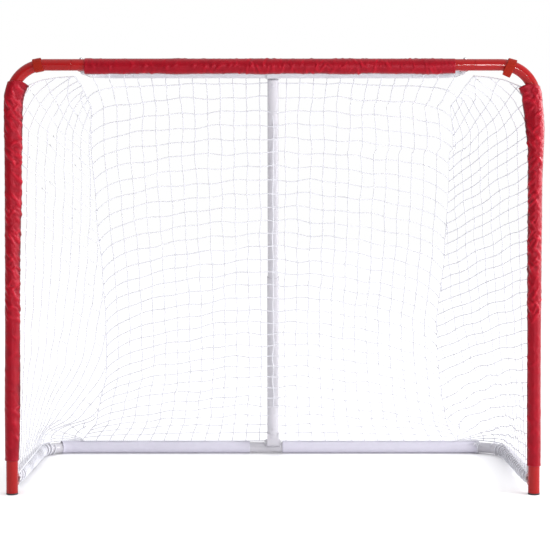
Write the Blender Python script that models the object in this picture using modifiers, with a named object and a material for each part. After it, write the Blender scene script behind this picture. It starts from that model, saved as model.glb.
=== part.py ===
"""Folding street hockey goal: steel front frame, swing-up base, drop-down shelf, telescoping prop and net.

The goal stands on Z = 0 with its mouth towards -Y, and +X is the right of someone who looks into it.
Every size is in metres. The origin is the bottom centre of the whole goal.
"""

import math

import bmesh
import bpy
from mathutils import Vector

# Overall sizes
GOAL_WIDTH = 1.372  # outside of one post's tube to the outside of the other's
GOAL_HEIGHT = 1.118  # floor to the top of the crossbar's tube
GOAL_DEPTH = 0.610  # front of the post sleeves to the back of the base sleeves
SHELF_DEPTH = 0.270  # post axis to the axis of the shelf's rail
SHELF_DROP = 0.0075  # crossbar axis down to the shelf's plane

# Tubes
FRAME_TUBE_R = 0.015
BASE_TUBE_R = 0.015
SHELF_TUBE_R = 0.0125
PROP_UPPER_R = 0.015
TUBE_WALL = 0.0015
TUBE_SIDES_STEP = 6  # bevel resolution: sixteen sides
SHARP_ANGLE = math.radians(40)
WELD = 0.000001
FRAME_BEND_R = 0.088
BASE_BEND_R = 0.088
SHELF_BEND_R = 0.060
BEND_STEPS = 7
SWAGE_TAPER = 0.003
SWAGE_LENGTH = 0.060  # how far a narrowed end goes into its neighbour
CROSSBAR_SEAM_IN = 0.156  # post axis in to the seam of corner piece and crossbar
BASE_SEAM_IN = 0.151  # side arm axis in to the seam with the rear bar
RAIL_SEAM_IN = 0.111  # shelf arm axis in to the seam with the rail

# Clearances
GAP = 0.0003  # between two pieces that touch
RUNNING_GAP = 0.0005  # between the prop's two tubes

# Fabric sleeves and corner straps
SLEEVE_T = 0.002
POST_SLEEVE_LOW = 0.095
POST_SLEEVE_TOP_MARGIN = 0.003  # below the start of the corner bend
CROSSBAR_SLEEVE_MARGIN = 0.0175  # snap button's axis in to the sleeve's end
BASE_SLEEVE_IN = 0.040
BASE_SLEEVE_OUT_MARGIN = 0.008  # inside the start of the base bend
STRAP_WIDTH = 0.022
STRAP_ANGLE = math.radians(15)  # from the top of the corner bend to the strap's middle
STRAP_T = 0.0016
STRAP_TAIL_LENGTH = 0.012
STRAP_TAIL_T = 0.0022
STRAP_TAIL_WIDTH = 0.0185
STRAP_TAIL_SUNK = 0.0012  # how deep the tail's root sits in the strap

# Hinge lugs and bolts
BOLT_R = 0.004
BOLT_HEAD_R = 0.0075
BOLT_HEAD_H = 0.0035
NUT_R = 0.0075
NUT_H = 0.0055
BOLT_END_PROUD = 0.0015  # past the nut
BOLT_CHAMFER = 0.0008
LUG_WALL = 0.003
LUG_ROOT = 0.3  # how far a lug's saddle reaches round its tube, as a share of the tube's radius
BASE_LUG_HEIGHT = 0.029
BASE_PIVOT_BACK = 0.041  # post axis to the base's hinge axis
BASE_PIVOT_Z = 0.031
SHELF_LUG_HEIGHT = 0.024
SHELF_PIVOT_BACK = 0.037  # crossbar axis to the shelf's hinge axis
SHELF_ARM_IN = 0.180  # post axis in to the shelf arm's axis
FLAT_LENGTH = 0.040  # flattened part of an arm's end
FLAT_BLEND = 0.045
FLAT_BLEND_STEPS = 3
BASE_FLAT_T = 0.014
BASE_FLAT_STRETCH = 1.22
BASE_END_MARGIN = 0.012
SHELF_FLAT_T = 0.012
SHELF_FLAT_STRETCH = 1.18
SHELF_END_MARGIN = 0.010

# Post caps
CAP_FLANGE_H = 0.004
CAP_LIP = 0.0003  # how far the flange stands out past the tube
CAP_PLUG_H = 0.026
CAP_CHAMFER = 0.001

# Snap buttons that lock the crossbar to the corner pieces
BUTTON_IN = 0.024  # crossbar's seam in to the button's axis
BUTTON_R = 0.004
BUTTON_PROUD = 0.004
BUTTON_FLANGE_R = 0.0052
BUTTON_FLANGE_H = 0.0012
SPRING_WIDTH = 0.007
SPRING_T = 0.0006
SPRING_HEEL = 0.005  # how far the spring's foot runs past the button's axis
SPRING_RUN = 0.0128  # button's axis to the start of the spring's bend
SPRING_BEND = 0.0042
SPRING_FALL = 0.0008  # how far the spring's top slopes down to its bend

# Prop between the shelf's rail and the base's rear bar
PIN_AHEAD = 0.026  # rear bar axis forward to the pin's axis
PIN_ABOVE = 0.0197  # rear bar axis up to the pin's axis
PROP_FOOT_EXPOSED = 0.032  # pin's axis up to the end of the lower tube
PROP_LOWER_LENGTH = 0.478
PROP_OVERLAP = 0.055
COLLAR_WIDTH = 0.036
COLLAR_WALL = 0.0027
COLLAR_STUB = 0.048
RAIL_BEAD = 0.0015
RAIL_BEAD_STEP = 0.0015
FOOT_HALF_DEPTH = 0.0125
FOOT_SPIGOT = 0.034
NOTCH_R = 0.0047
NOTCH_MOUTH_R = 0.0066
NOTCH_REACH = 0.036
EAR_T = 0.003
EAR_R = 0.009
EAR_ROOT_R = 0.005
PIN_R = 0.004
PIN_HEAD_R = 0.0075
PIN_HEAD_T = 0.004
PIN_OVERHANG = 0.004  # past the far ear
RIVET_R = 0.0025
RIVET_HEAD_R = 0.005
RIVET_HEAD_H = 0.0016
RIVET_FROM_END = 0.016
PIN_CHAMFER = 0.001
DOME_STEPS = 3  # of a bolt, rivet or button head
CUT_LONG = 0.2  # a cutter that passes right through

# How the goal folds
BASE_FOLD = math.radians(84)
SHELF_FOLD = math.radians(88)
PROP_SWING = math.radians(-16)  # of the prop, measured from the floor
PROP_SLIDE = 0.360

# Net
NET_T = 0.002
NET_HALF_CORD = 0.0013
NET_CLEAR = 0.0004
BACK_CELLS = (11, 10)
SIDE_CELLS = (5, 9)
TOP_CELLS = (11, 3)
NET_TOP_IN = 0.021  # shelf arm's axis in to the net's upper corner
NET_SEAM_IN = 0.126  # side arm's axis in to the net's lower corner
NET_POST_LOW_Z = 0.053
NET_POST_TOP_MARGIN = 0.010  # below the start of the corner bend

# Places that follow from the sizes
SLEEVE_ADD = GAP + SLEEVE_T
FRONT_Y = -(GOAL_DEPTH / 2 - FRAME_TUBE_R - SLEEVE_ADD)
REAR_Y = GOAL_DEPTH / 2 - BASE_TUBE_R - SLEEVE_ADD
REAR_Z = BASE_TUBE_R + SLEEVE_ADD
POST_X = GOAL_WIDTH / 2 - FRAME_TUBE_R
CROSSBAR_Z = GOAL_HEIGHT - FRAME_TUBE_R
BEND_START_Z = CROSSBAR_Z - FRAME_BEND_R
BASE_PIVOT = Vector((0, FRONT_Y + BASE_PIVOT_BACK, BASE_PIVOT_Z))
SHELF_PIVOT = Vector((0, FRONT_Y + SHELF_PIVOT_BACK, CROSSBAR_Z - SHELF_DROP))
RAIL = Vector((0, FRONT_Y + SHELF_DEPTH, SHELF_PIVOT.z))
REAR_BAR = Vector((0, REAR_Y, REAR_Z))
PIN = Vector((0, REAR_Y - PIN_AHEAD, REAR_Z + PIN_ABOVE))
PROP_LEAN = math.atan2(PIN.y - RAIL.y, RAIL.z - PIN.z)
PROP_LENGTH = (PIN - RAIL).length
PROP_ALONG = (PIN - RAIL) / PROP_LENGTH
PROP_BACK = Vector((0, math.cos(PROP_LEAN), math.sin(PROP_LEAN)))
BASE_TILT = math.atan2(REAR_Z - BASE_PIVOT.z, REAR_Y - BASE_PIVOT.y)
BASE_REACH = (REAR_BAR - BASE_PIVOT).length
STUB_R = FRAME_TUBE_R - TUBE_WALL - GAP
PROP_LOWER_R = PROP_UPPER_R + RUNNING_GAP + TUBE_WALL
CROSSBAR_SEAM_X = POST_X - CROSSBAR_SEAM_IN
BUTTON_X = CROSSBAR_SEAM_X - BUTTON_IN
CROSSBAR_SLEEVE_HALF = BUTTON_X - CROSSBAR_SLEEVE_MARGIN
BASE_SEAM_X = POST_X - BASE_SEAM_IN
SHELF_ARM_X = POST_X - SHELF_ARM_IN
RAIL_SEAM_X = SHELF_ARM_X - RAIL_SEAM_IN
NET_TOP_X = SHELF_ARM_X - NET_TOP_IN
NET_SEAM_LOW_X = POST_X - NET_SEAM_IN

RED_PAINT = ((0.55, 0.03, 0.03), 0.35, 0.25)
WHITE_PAINT = ((0.78, 0.78, 0.82), 0.35, 0.2)
RED_FABRIC = ((0.42, 0.01, 0.02), 0.6, 0.0)
WHITE_FABRIC = ((0.80, 0.79, 0.85), 0.8, 0.0)
STRAP_RED = ((0.75, 0.08, 0.04), 0.5, 0.0)
ZINC = ((0.62, 0.62, 0.64), 0.3, 0.9)
BLACK_PLASTIC = ((0.02, 0.02, 0.02), 0.6, 0.0)
NET_CORD = ((0.85, 0.85, 0.87), 0.9, 0.0)

for old in list(bpy.context.scene.objects):
    bpy.data.objects.remove(old, do_unlink=True)

GOAL = bpy.data.collections.new("folding_hockey_goal")
CUTTERS = bpy.data.collections.new("cutters")
bpy.context.scene.collection.children.link(GOAL)
bpy.context.scene.collection.children.link(CUTTERS)


# Helpers

def paint(obj, look):
    """Gives a piece its own material from a colour, a roughness and a metallic value."""
    colour, roughness, metallic = look
    material = bpy.data.materials.new(obj.name)
    material.use_nodes = True
    shader = material.node_tree.nodes["Principled BSDF"]
    shader.inputs["Base Color"].default_value = (*colour, 1)
    shader.inputs["Roughness"].default_value = roughness
    shader.inputs["Metallic"].default_value = metallic
    obj.data.materials.append(material)


def piece(name, mesh, look=None):
    """A mesh object: a named piece of the goal, or a cutter where it has no look."""
    obj = bpy.data.objects.new(name, mesh)
    if look:
        GOAL.objects.link(obj)
        paint(obj, look)
    else:
        CUTTERS.objects.link(obj)
        obj.hide_render = True
        obj.display_type = "WIRE"
    return obj


def shade(mesh):
    """Smooth faces with sharp edges kept."""
    mesh.shade_smooth()
    mesh.set_sharp_from_angle(angle=SHARP_ANGLE)


def pivot(name, location, tilt=0.0):
    """An empty on a joint's axis."""
    empty = bpy.data.objects.new(name, None)
    GOAL.objects.link(empty)
    empty.location = location
    empty.rotation_euler.x = tilt
    return empty


def evaluated_mesh(obj):
    """The mesh of a curve as it is shown, with its loose caps welded."""
    bpy.context.view_layer.update()
    mesh = bpy.data.meshes.new_from_object(obj.evaluated_get(bpy.context.evaluated_depsgraph_get()))
    shape = bmesh.new()
    shape.from_mesh(mesh)
    bmesh.ops.remove_doubles(shape, verts=shape.verts, dist=WELD)
    shape.to_mesh(mesh)
    shape.free()
    return mesh


def tube(name, path, radius, look, wall=TUBE_WALL, widths=None):
    """A hollow tube along a list of points. widths holds each point's share of the radius."""
    curve = bpy.data.curves.new(name, "CURVE")
    curve.dimensions = "3D"
    curve.bevel_depth = radius
    curve.bevel_resolution = TUBE_SIDES_STEP
    spline = curve.splines.new("POLY")
    spline.points.add(len(path) - 1)
    for index, place in enumerate(path):
        spline.points[index].co = (*place, 1)
        spline.points[index].radius = widths[index] if widths else 1.0
    guide = bpy.data.objects.new(name + "_guide", curve)
    CUTTERS.objects.link(guide)
    mesh = evaluated_mesh(guide)
    bpy.data.objects.remove(guide, do_unlink=True)
    shade(mesh)
    obj = piece(name, mesh, look)
    skin = obj.modifiers.new("wall", "SOLIDIFY")
    skin.thickness = wall
    skin.offset = -1
    return obj


def rod_mesh(name, radius, length, sides=16):
    """A cylinder about local Z."""
    shape = bmesh.new()
    bmesh.ops.create_cone(shape, cap_ends=True, segments=sides, radius1=radius, radius2=radius, depth=length)
    mesh = bpy.data.meshes.new(name)
    shape.to_mesh(mesh)
    shape.free()
    shade(mesh)
    return mesh


def rod(name, middle, direction, radius, length, look=None, sides=16):
    """A cylinder along a direction, with its origin at its middle."""
    obj = piece(name, rod_mesh(name, radius, length, sides), look)
    obj.location = middle
    obj.rotation_euler = Vector(direction).to_track_quat("Z", "Y").to_euler()
    return obj


def box(name, low, high, look=None):
    """A box between two corners."""
    low, high = Vector(low), Vector(high)
    shape = bmesh.new()
    bmesh.ops.create_cube(shape, size=1.0)
    bmesh.ops.scale(shape, vec=high - low, verts=shape.verts)
    mesh = bpy.data.meshes.new(name)
    shape.to_mesh(mesh)
    shape.free()
    obj = piece(name, mesh, look)
    obj.location = (low + high) / 2
    return obj


def turned(name, profile, look, middle=(0, 0, 0), direction=(0, 0, 1), steps=16):
    """A turned piece: profile holds (radius, height) down its outer side, and direction is its top."""
    mesh = bpy.data.meshes.new(name)
    rim = [(radius, 0, height) for radius, height in profile]
    mesh.from_pydata(rim, [(i, i + 1) for i in range(len(rim) - 1)], [])
    obj = piece(name, mesh, look)
    screw = obj.modifiers.new("turn", "SCREW")
    screw.steps = screw.render_steps = steps
    screw.use_merge_vertices = True
    screw.merge_threshold = WELD
    screw.use_smooth_shade = True
    obj.location = middle
    obj.rotation_euler = Vector(direction).to_track_quat("Z", "Y").to_euler()
    return obj


def slab(name, outline, thickness, look=None):
    """A flat plate across X from an outline of (y, z) points, centred on X = 0."""
    curve = bpy.data.curves.new(name, "CURVE")
    curve.dimensions = "2D"
    curve.fill_mode = "BOTH"
    curve.extrude = thickness / 2
    spline = curve.splines.new("POLY")
    spline.points.add(len(outline) - 1)
    spline.use_cyclic_u = True
    for index, (y, z) in enumerate(outline):
        spline.points[index].co = (y, z, 0, 1)
    guide = bpy.data.objects.new(name + "_guide", curve)
    CUTTERS.objects.link(guide)
    mesh = evaluated_mesh(guide)
    bpy.data.objects.remove(guide, do_unlink=True)
    obj = piece(name, mesh, look)
    obj.rotation_euler = (math.pi / 2, 0, math.pi / 2)
    return obj


def boolean(target, tool, operation="DIFFERENCE"):
    """Cuts a tool from a piece, or joins it on."""
    change = target.modifiers.new(tool.name, "BOOLEAN")
    change.operation = operation
    change.solver = "EXACT"
    change.object = tool


def arc(centre, radius, start, end, steps):
    """Points of an arc in a plane, as pairs."""
    angles = [start + (end - start) * i / steps for i in range(steps + 1)]
    return [(centre[0] + radius * math.cos(a), centre[1] + radius * math.sin(a)) for a in angles]


def dome(radius, height, top=0.0):
    """A domed head's profile from its crown down to its rim, as (radius, height) pairs."""
    angles = [math.pi / 2 * i / DOME_STEPS for i in range(DOME_STEPS + 1)]
    return [(radius * math.sin(a), top - height * (1 - math.cos(a))) for a in angles]


def on_bend(centre, radius, angle):
    """The point of a quarter bend's faceted centre line at an angle, as a pair."""
    step = math.pi / 2 / BEND_STEPS
    chord = (math.floor(angle / step) + 0.5) * step
    reach = radius * math.cos(step / 2) / math.cos(angle - chord)
    return centre[0] + reach * math.cos(angle), centre[1] + reach * math.sin(angle)


def capsule(start, start_r, end, end_r, steps=6):
    """Outline round two circles of unlike radius, as (y, z) pairs."""
    run = Vector(end) - Vector(start)
    heading = math.atan2(run.y, run.x)
    half = math.acos((start_r - end_r) / run.length)
    far = arc(end, end_r, heading - half, heading + half, steps)
    near = arc(start, start_r, heading + half, heading + 2 * math.pi - half, steps)
    return far + near


def swaged(path, radius, inside_r):
    """Radius shares for a path whose last two points are the narrowed end."""
    return [1.0] * (len(path) - 2) + [inside_r / radius] * 2


def flatten_end(obj, end_y, half_thickness, radius, stretch, middle_x):
    """Presses a tube's end flat across X, blending to round, with its edge grown in Z."""
    for vertex in obj.data.vertices:
        share = (vertex.co.y - end_y - FLAT_LENGTH) / FLAT_BLEND
        share = min(max(share, 0.0), 1.0)
        share = share * share * (3 - 2 * share)
        thin = half_thickness / radius
        vertex.co.x = middle_x + (vertex.co.x - middle_x) * (thin + (1 - thin) * share)
        vertex.co.z *= stretch + (1 - stretch) * share


# Front frame: two corner pieces and the crossbar

def corner_path(side):
    """From a post's foot up, round the corner and into the crossbar."""
    bend = arc((POST_X - FRAME_BEND_R, BEND_START_Z), FRAME_BEND_R, 0, math.pi / 2, BEND_STEPS)
    flat = [CROSSBAR_SEAM_X + GAP + SWAGE_TAPER, CROSSBAR_SEAM_X + GAP, CROSSBAR_SEAM_X - SWAGE_LENGTH]
    line = [(POST_X, CAP_FLANGE_H + GAP)] + bend + [(x, CROSSBAR_Z) for x in flat]
    return [Vector((side * x, FRONT_Y, z)) for x, z in line]


def front_frame():
    """Posts, crossbar, snap buttons and caps."""
    crossbar_path = [Vector((x, FRONT_Y, CROSSBAR_Z)) for x in (-CROSSBAR_SEAM_X, CROSSBAR_SEAM_X)]
    crossbar = tube("crossbar", crossbar_path, FRAME_TUBE_R, RED_PAINT)
    for side, word in ((-1, "left"), (1, "right")):
        path = corner_path(side)
        post = tube("post_" + word, path, FRAME_TUBE_R, RED_PAINT, widths=swaged(path, FRAME_TUBE_R, STUB_R))
        hole_top = Vector((side * BUTTON_X, FRONT_Y, CROSSBAR_Z + FRAME_TUBE_R))
        hole = rod("button_hole_" + word, hole_top, (0, 0, 1), BUTTON_R + GAP, 2 * (FRAME_TUBE_R - BUTTON_R))
        boolean(crossbar, hole)
        boolean(post, hole)
        snap_button(side, word)
        plug_top = CAP_FLANGE_H + CAP_PLUG_H
        flange_r = FRAME_TUBE_R + CAP_LIP
        profile = [(0, plug_top), (STUB_R - CAP_CHAMFER, plug_top), (STUB_R, plug_top - CAP_CHAMFER),
                   (STUB_R, CAP_FLANGE_H), (flange_r, CAP_FLANGE_H), (flange_r, 0), (0, 0)]
        turned("post_cap_" + word, profile, BLACK_PLASTIC, (side * POST_X, FRONT_Y, 0))


def snap_button(side, word):
    """A domed button that stands through the crossbar and the narrowed end, on its leaf spring."""
    inside_r = STUB_R - TUBE_WALL
    top = FRAME_TUBE_R + BUTTON_PROUD
    flange_top = math.sqrt(inside_r ** 2 - BUTTON_FLANGE_R ** 2) - GAP
    flange_low = flange_top - BUTTON_FLANGE_H
    flange = [(BUTTON_R, flange_top), (BUTTON_FLANGE_R, flange_top), (BUTTON_FLANGE_R, flange_low), (0, flange_low)]
    profile = dome(BUTTON_R, BUTTON_R, top) + flange
    turned("snap_button_" + word, profile, ZINC, (side * BUTTON_X, FRONT_Y, CROSSBAR_Z))
    floor = -math.sqrt(inside_r ** 2 - (SPRING_WIDTH / 2) ** 2) + GAP + SPRING_T / 2
    crown = flange_low - GAP - SPRING_T / 2
    leaf = [(-SPRING_HEEL, floor), (SPRING_RUN, floor), (SPRING_RUN + SPRING_BEND, (floor + crown) / 2),
            (SPRING_RUN, crown - SPRING_FALL), (BUTTON_R, crown), (-BUTTON_R, crown)]
    mesh = bpy.data.meshes.new("button_spring_" + word)
    verts = [(x, y, z) for x, z in leaf for y in (-SPRING_WIDTH / 2, SPRING_WIDTH / 2)]
    faces = [(2 * i, 2 * i + 1, 2 * i + 3, 2 * i + 2) for i in range(len(leaf) - 1)]
    mesh.from_pydata(verts, [], faces)
    spring = piece("button_spring_" + word, mesh, ZINC)
    spring.location = (side * BUTTON_X, FRONT_Y, CROSSBAR_Z)
    sheet = spring.modifiers.new("sheet", "SOLIDIFY")
    sheet.thickness = SPRING_T
    sheet.offset = 0


# Hinges: a lug on the frame, a bolt and a nut

def lug(name, hinge, carrier, carrier_axis, carrier_r, height, slot):
    """A forked lug behind a round tube, with a slot for an arm's flat end and a bolt hole across it."""
    half_width = slot / 2 + LUG_WALL
    root = carrier.y + carrier_r * LUG_ROOT
    outline = [(root, hinge.z - height / 2)]
    outline += arc((hinge.y, hinge.z), height / 2, -math.pi / 2, math.pi / 2, 8)
    outline += [(root, hinge.z + height / 2)]
    body = slab(name, outline, 2 * half_width, RED_PAINT)
    body.location.x = hinge.x
    seat = rod(name + "_seat", carrier, carrier_axis, carrier_r + GAP, CUT_LONG, sides=24)
    mouth = box(name + "_slot", (hinge.x - slot / 2, carrier.y + carrier_r + LUG_WALL, hinge.z - height),
                (hinge.x + slot / 2, hinge.y + height, hinge.z + height))
    hole = rod(name + "_hole", hinge, (1, 0, 0), BOLT_R + GAP, 4 * half_width)
    for tool in (seat, mouth, hole):
        boolean(body, tool)
    return half_width


def pivot_bolt(name, hinge, half_width, side):
    """A domed bolt across a lug, with its head outside and its nut inside."""
    shank = 2 * half_width + 2 * GAP + NUT_H + BOLT_END_PROUD
    profile = dome(BOLT_HEAD_R, BOLT_HEAD_H, BOLT_HEAD_H)
    profile += [(BOLT_R, 0), (BOLT_R, BOLT_CHAMFER - shank), (BOLT_R - BOLT_CHAMFER, -shank), (0, -shank)]
    seat = hinge + Vector((side * (half_width + GAP), 0, 0))
    turned(name + "_bolt", profile, ZINC, seat, (side, 0, 0), steps=12)
    nut = rod(name + "_nut", hinge - Vector((side * (half_width + GAP + NUT_H / 2), 0, 0)), (1, 0, 0),
              NUT_R, NUT_H, ZINC, sides=6)
    thread = rod(name + "_thread", nut.location.copy(), (1, 0, 0), BOLT_R + GAP, 2 * NUT_H, sides=12)
    boolean(nut, thread)


def hinges():
    """The four lugs with their bolts."""
    for side, word in ((-1, "left"), (1, "right")):
        hinge = Vector((side * POST_X, BASE_PIVOT.y, BASE_PIVOT.z))
        post = Vector((side * POST_X, FRONT_Y, BASE_PIVOT.z))
        slot = BASE_FLAT_T + 2 * GAP
        half = lug("base_lug_" + word, hinge, post, (0, 0, 1), FRAME_TUBE_R, BASE_LUG_HEIGHT, slot)
        pivot_bolt("base_hinge_" + word, hinge, half, side)
        hinge = Vector((side * SHELF_ARM_X, SHELF_PIVOT.y, SHELF_PIVOT.z))
        bar = Vector((side * SHELF_ARM_X, FRONT_Y, CROSSBAR_Z))
        slot = SHELF_FLAT_T + 2 * GAP
        half = lug("shelf_lug_" + word, hinge, bar, (1, 0, 0), FRAME_TUBE_R, SHELF_LUG_HEIGHT, slot)
        pivot_bolt("shelf_hinge_" + word, hinge, half, side)


# Arms: flat at the hinge, bent at the corner, narrowed where they enter the cross tube

def arm(name, carrier, side, arm_x, reach, bend_r, radius, seam_x, flat_t, stretch, margin, look):
    """One side arm of a U frame, in the frame's own plane with the hinge axis at local y = 0."""
    bend = arc((arm_x - bend_r, reach - bend_r), bend_r, 0, math.pi / 2, BEND_STEPS)
    blend = [FLAT_LENGTH - margin + FLAT_BLEND * i / FLAT_BLEND_STEPS for i in range(FLAT_BLEND_STEPS + 1)]
    seam = [seam_x + GAP + SWAGE_TAPER, seam_x + GAP, seam_x - SWAGE_LENGTH]
    line = [(arm_x, y) for y in [-margin] + blend] + bend + [(x, reach) for x in seam]
    path = [Vector((side * x, y, 0)) for x, y in line]
    inside_r = radius - TUBE_WALL - GAP
    obj = tube(name, path, radius, look, widths=swaged(path, radius, inside_r))
    flatten_end(obj, -margin, flat_t / 2, radius, stretch, side * arm_x)
    obj.parent = carrier
    hole = rod(name + "_bolt_hole", (side * arm_x, 0, 0), (1, 0, 0), BOLT_R + GAP, 4 * radius)
    hole.parent = carrier
    boolean(obj, hole)


def base():
    """The base U with its rear bar, its white sleeves, and the two ears that take the prop's pin."""
    carrier = pivot("base_axis", BASE_PIVOT, BASE_TILT)
    for side, word in ((-1, "left"), (1, "right")):
        arm("base_arm_" + word, carrier, side, POST_X, BASE_REACH, BASE_BEND_R, BASE_TUBE_R, BASE_SEAM_X,
            BASE_FLAT_T, BASE_FLAT_STRETCH, BASE_END_MARGIN, WHITE_PAINT)
        reach = POST_X - BASE_BEND_R - BASE_SLEEVE_OUT_MARGIN
        ends = sorted((side * BASE_SLEEVE_IN, side * reach))
        sleeve_path = [Vector((x, BASE_REACH, 0)) for x in ends]
        sleeve = tube("base_sleeve_" + word, sleeve_path, BASE_TUBE_R + SLEEVE_ADD, WHITE_FABRIC, SLEEVE_T)
        sleeve.parent = carrier
    bar = tube("rear_bar", [Vector((x, BASE_REACH, 0)) for x in (-BASE_SEAM_X, BASE_SEAM_X)],
               BASE_TUBE_R, WHITE_PAINT)
    bar.parent = carrier
    for side, word in ((-1, "left"), (1, "right")):
        outline = capsule((PIN.y, PIN.z), EAR_R, (REAR_Y, REAR_Z), EAR_ROOT_R)
        ear = slab("prop_ear_" + word, outline, EAR_T, WHITE_PAINT)
        ear.location.x = side * (PROP_LOWER_R + RUNNING_GAP + EAR_T / 2)
        bar_place = (ear.location.x, REAR_Y, REAR_Z)
        seat = rod("ear_seat_" + word, bar_place, (1, 0, 0), BASE_TUBE_R + GAP, 4 * EAR_T, sides=24)
        pin_place = (ear.location.x, PIN.y, PIN.z)
        hole = rod("ear_hole_" + word, pin_place, (1, 0, 0), PIN_R + GAP, 4 * EAR_T)
        boolean(ear, seat)
        boolean(ear, hole)
    outer = PROP_LOWER_R + RUNNING_GAP + EAR_T + GAP
    end = -2 * outer - PIN_OVERHANG
    profile = [(0, PIN_HEAD_T), (PIN_HEAD_R - PIN_CHAMFER, PIN_HEAD_T), (PIN_HEAD_R, PIN_HEAD_T - PIN_CHAMFER),
               (PIN_HEAD_R, 0), (PIN_R, 0), (PIN_R, end + PIN_CHAMFER), (PIN_R - PIN_CHAMFER, end), (0, end)]
    turned("release_pin", profile, ZINC, (-outer, PIN.y, PIN.z), (-1, 0, 0), steps=12)


# Shelf: two arms and the rail that carries the prop

def shelf():
    """The shelf U, with two rolled beads that keep the prop's collar in the middle of the rail."""
    carrier = pivot("shelf_axis", SHELF_PIVOT)
    reach = SHELF_DEPTH - SHELF_PIVOT_BACK
    for side, word in ((-1, "left"), (1, "right")):
        arm("shelf_arm_" + word, carrier, side, SHELF_ARM_X, reach, SHELF_BEND_R, SHELF_TUBE_R, RAIL_SEAM_X,
            SHELF_FLAT_T, SHELF_FLAT_STRETCH, SHELF_END_MARGIN, WHITE_PAINT)
    bead = COLLAR_WIDTH / 2 + 2 * GAP
    right = [(bead, 1.0), (bead + RAIL_BEAD_STEP, 1 + RAIL_BEAD / SHELF_TUBE_R),
             (bead + 2 * RAIL_BEAD_STEP, 1.0), (RAIL_SEAM_X, 1.0)]
    stations = [(-x, width) for x, width in reversed(right)] + right
    rail = tube("shelf_rail", [Vector((x, reach, 0)) for x, width in stations], SHELF_TUBE_R, WHITE_PAINT,
                widths=[width for x, width in stations])
    rail.parent = carrier


# Prop: collar on the rail, upper tube, lower tube and hooked foot

def rivet(name, carrier, height, outer_r):
    """A double-headed rivet through the prop, from its front to its back. Returns the cutter of its hole."""
    half = outer_r + GAP
    front = dome(RIVET_HEAD_R, RIVET_HEAD_H, half + RIVET_HEAD_H) + [(RIVET_R, half)]
    profile = front + [(radius, -y) for radius, y in reversed(front)]
    obj = turned(name, profile, ZINC, (0, 0, height), (0, -1, 0), steps=12)
    obj.parent = carrier
    hole = rod(name + "_hole", (0, 0, height), (0, 1, 0), RIVET_R + GAP, 4 * outer_r)
    hole.parent = carrier
    return hole


def prop_upper():
    """The collar turns on the rail, and the upper tube is riveted to its stub."""
    carrier = pivot("prop_axis", RAIL, PROP_LEAN)
    ring_r = SHELF_TUBE_R + GAP + COLLAR_WALL
    collar = rod("prop_collar", (0, 0, 0), (1, 0, 0), ring_r, COLLAR_WIDTH, WHITE_PAINT, sides=24)
    stub_r = PROP_UPPER_R - TUBE_WALL - GAP
    stub = rod("collar_stub", (0, 0, -COLLAR_STUB / 2), (0, 0, 1), stub_r, COLLAR_STUB)
    bore = rod("collar_bore", (0, 0, 0), (1, 0, 0), SHELF_TUBE_R + 2 * GAP, 2 * COLLAR_WIDTH, sides=24)
    top = -ring_r - GAP
    bottom = -(PROP_LENGTH - PROP_FOOT_EXPOSED - PROP_LOWER_LENGTH + PROP_OVERLAP)
    upper = tube("prop_upper_tube", [Vector((0, 0, z)) for z in (top, bottom)], PROP_UPPER_R, WHITE_PAINT)
    hole = rivet("prop_top_rivet", carrier, top - RIVET_FROM_END, PROP_UPPER_R)
    boolean(collar, stub, "UNION")
    boolean(collar, bore)
    boolean(collar, hole)
    boolean(upper, hole)
    for obj in (collar, stub, bore, upper):
        obj.parent = carrier


def pin_way():
    """Where the pin goes, seen from the foot, when the fold begins: (along the prop, behind it)."""
    turn = 1.0 / BASE_FOLD
    rise = (PIN - BASE_PIVOT).cross(Vector((-1, 0, 0)))
    drop = Vector((0, 0, -(SHELF_DEPTH - SHELF_PIVOT_BACK) * SHELF_FOLD * turn))
    foot = drop + PROP_BACK * PROP_LENGTH * PROP_SWING * turn - PROP_ALONG * PROP_SLIDE * turn
    way = rise - foot
    return Vector((way.dot(PROP_ALONG), way.dot(PROP_BACK))).normalized()


def prop_lower():
    """The lower tube and its foot, whose notch lets the pin out backwards and upwards."""
    carrier = pivot("prop_foot_axis", PIN, PROP_LEAN)
    low = PROP_FOOT_EXPOSED
    lower = tube("prop_lower_tube", [Vector((0, 0, z)) for z in (low + PROP_LOWER_LENGTH, low)],
                 PROP_LOWER_R, WHITE_PAINT)
    foot = box("prop_foot", (-PROP_LOWER_R, -FOOT_HALF_DEPTH, 0), (PROP_LOWER_R, FOOT_HALF_DEPTH, low - GAP),
               WHITE_PAINT)
    toe = rod("foot_toe", (0, 0, 0), (1, 0, 0), FOOT_HALF_DEPTH, 2 * PROP_LOWER_R)
    spigot_r = PROP_LOWER_R - TUBE_WALL - GAP
    spigot = rod("foot_spigot", (0, 0, low + (FOOT_SPIGOT - FOOT_HALF_DEPTH) / 2), (0, 0, 1), spigot_r,
                 FOOT_SPIGOT + FOOT_HALF_DEPTH)
    along, back = pin_way()
    way_out = (back * NOTCH_REACH, -along * NOTCH_REACH)
    notch = slab("foot_notch", capsule((0, 0), NOTCH_R, way_out, NOTCH_MOUTH_R), 4 * PROP_LOWER_R)
    hole = rivet("prop_foot_rivet", carrier, low + RIVET_FROM_END, PROP_LOWER_R)
    boolean(foot, toe, "UNION")
    boolean(foot, spigot, "UNION")
    boolean(foot, notch)
    boolean(foot, hole)
    boolean(lower, hole)
    for obj in (lower, foot, toe, spigot, notch):
        obj.parent = carrier


# Fabric: tube sleeves and corner straps

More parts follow.
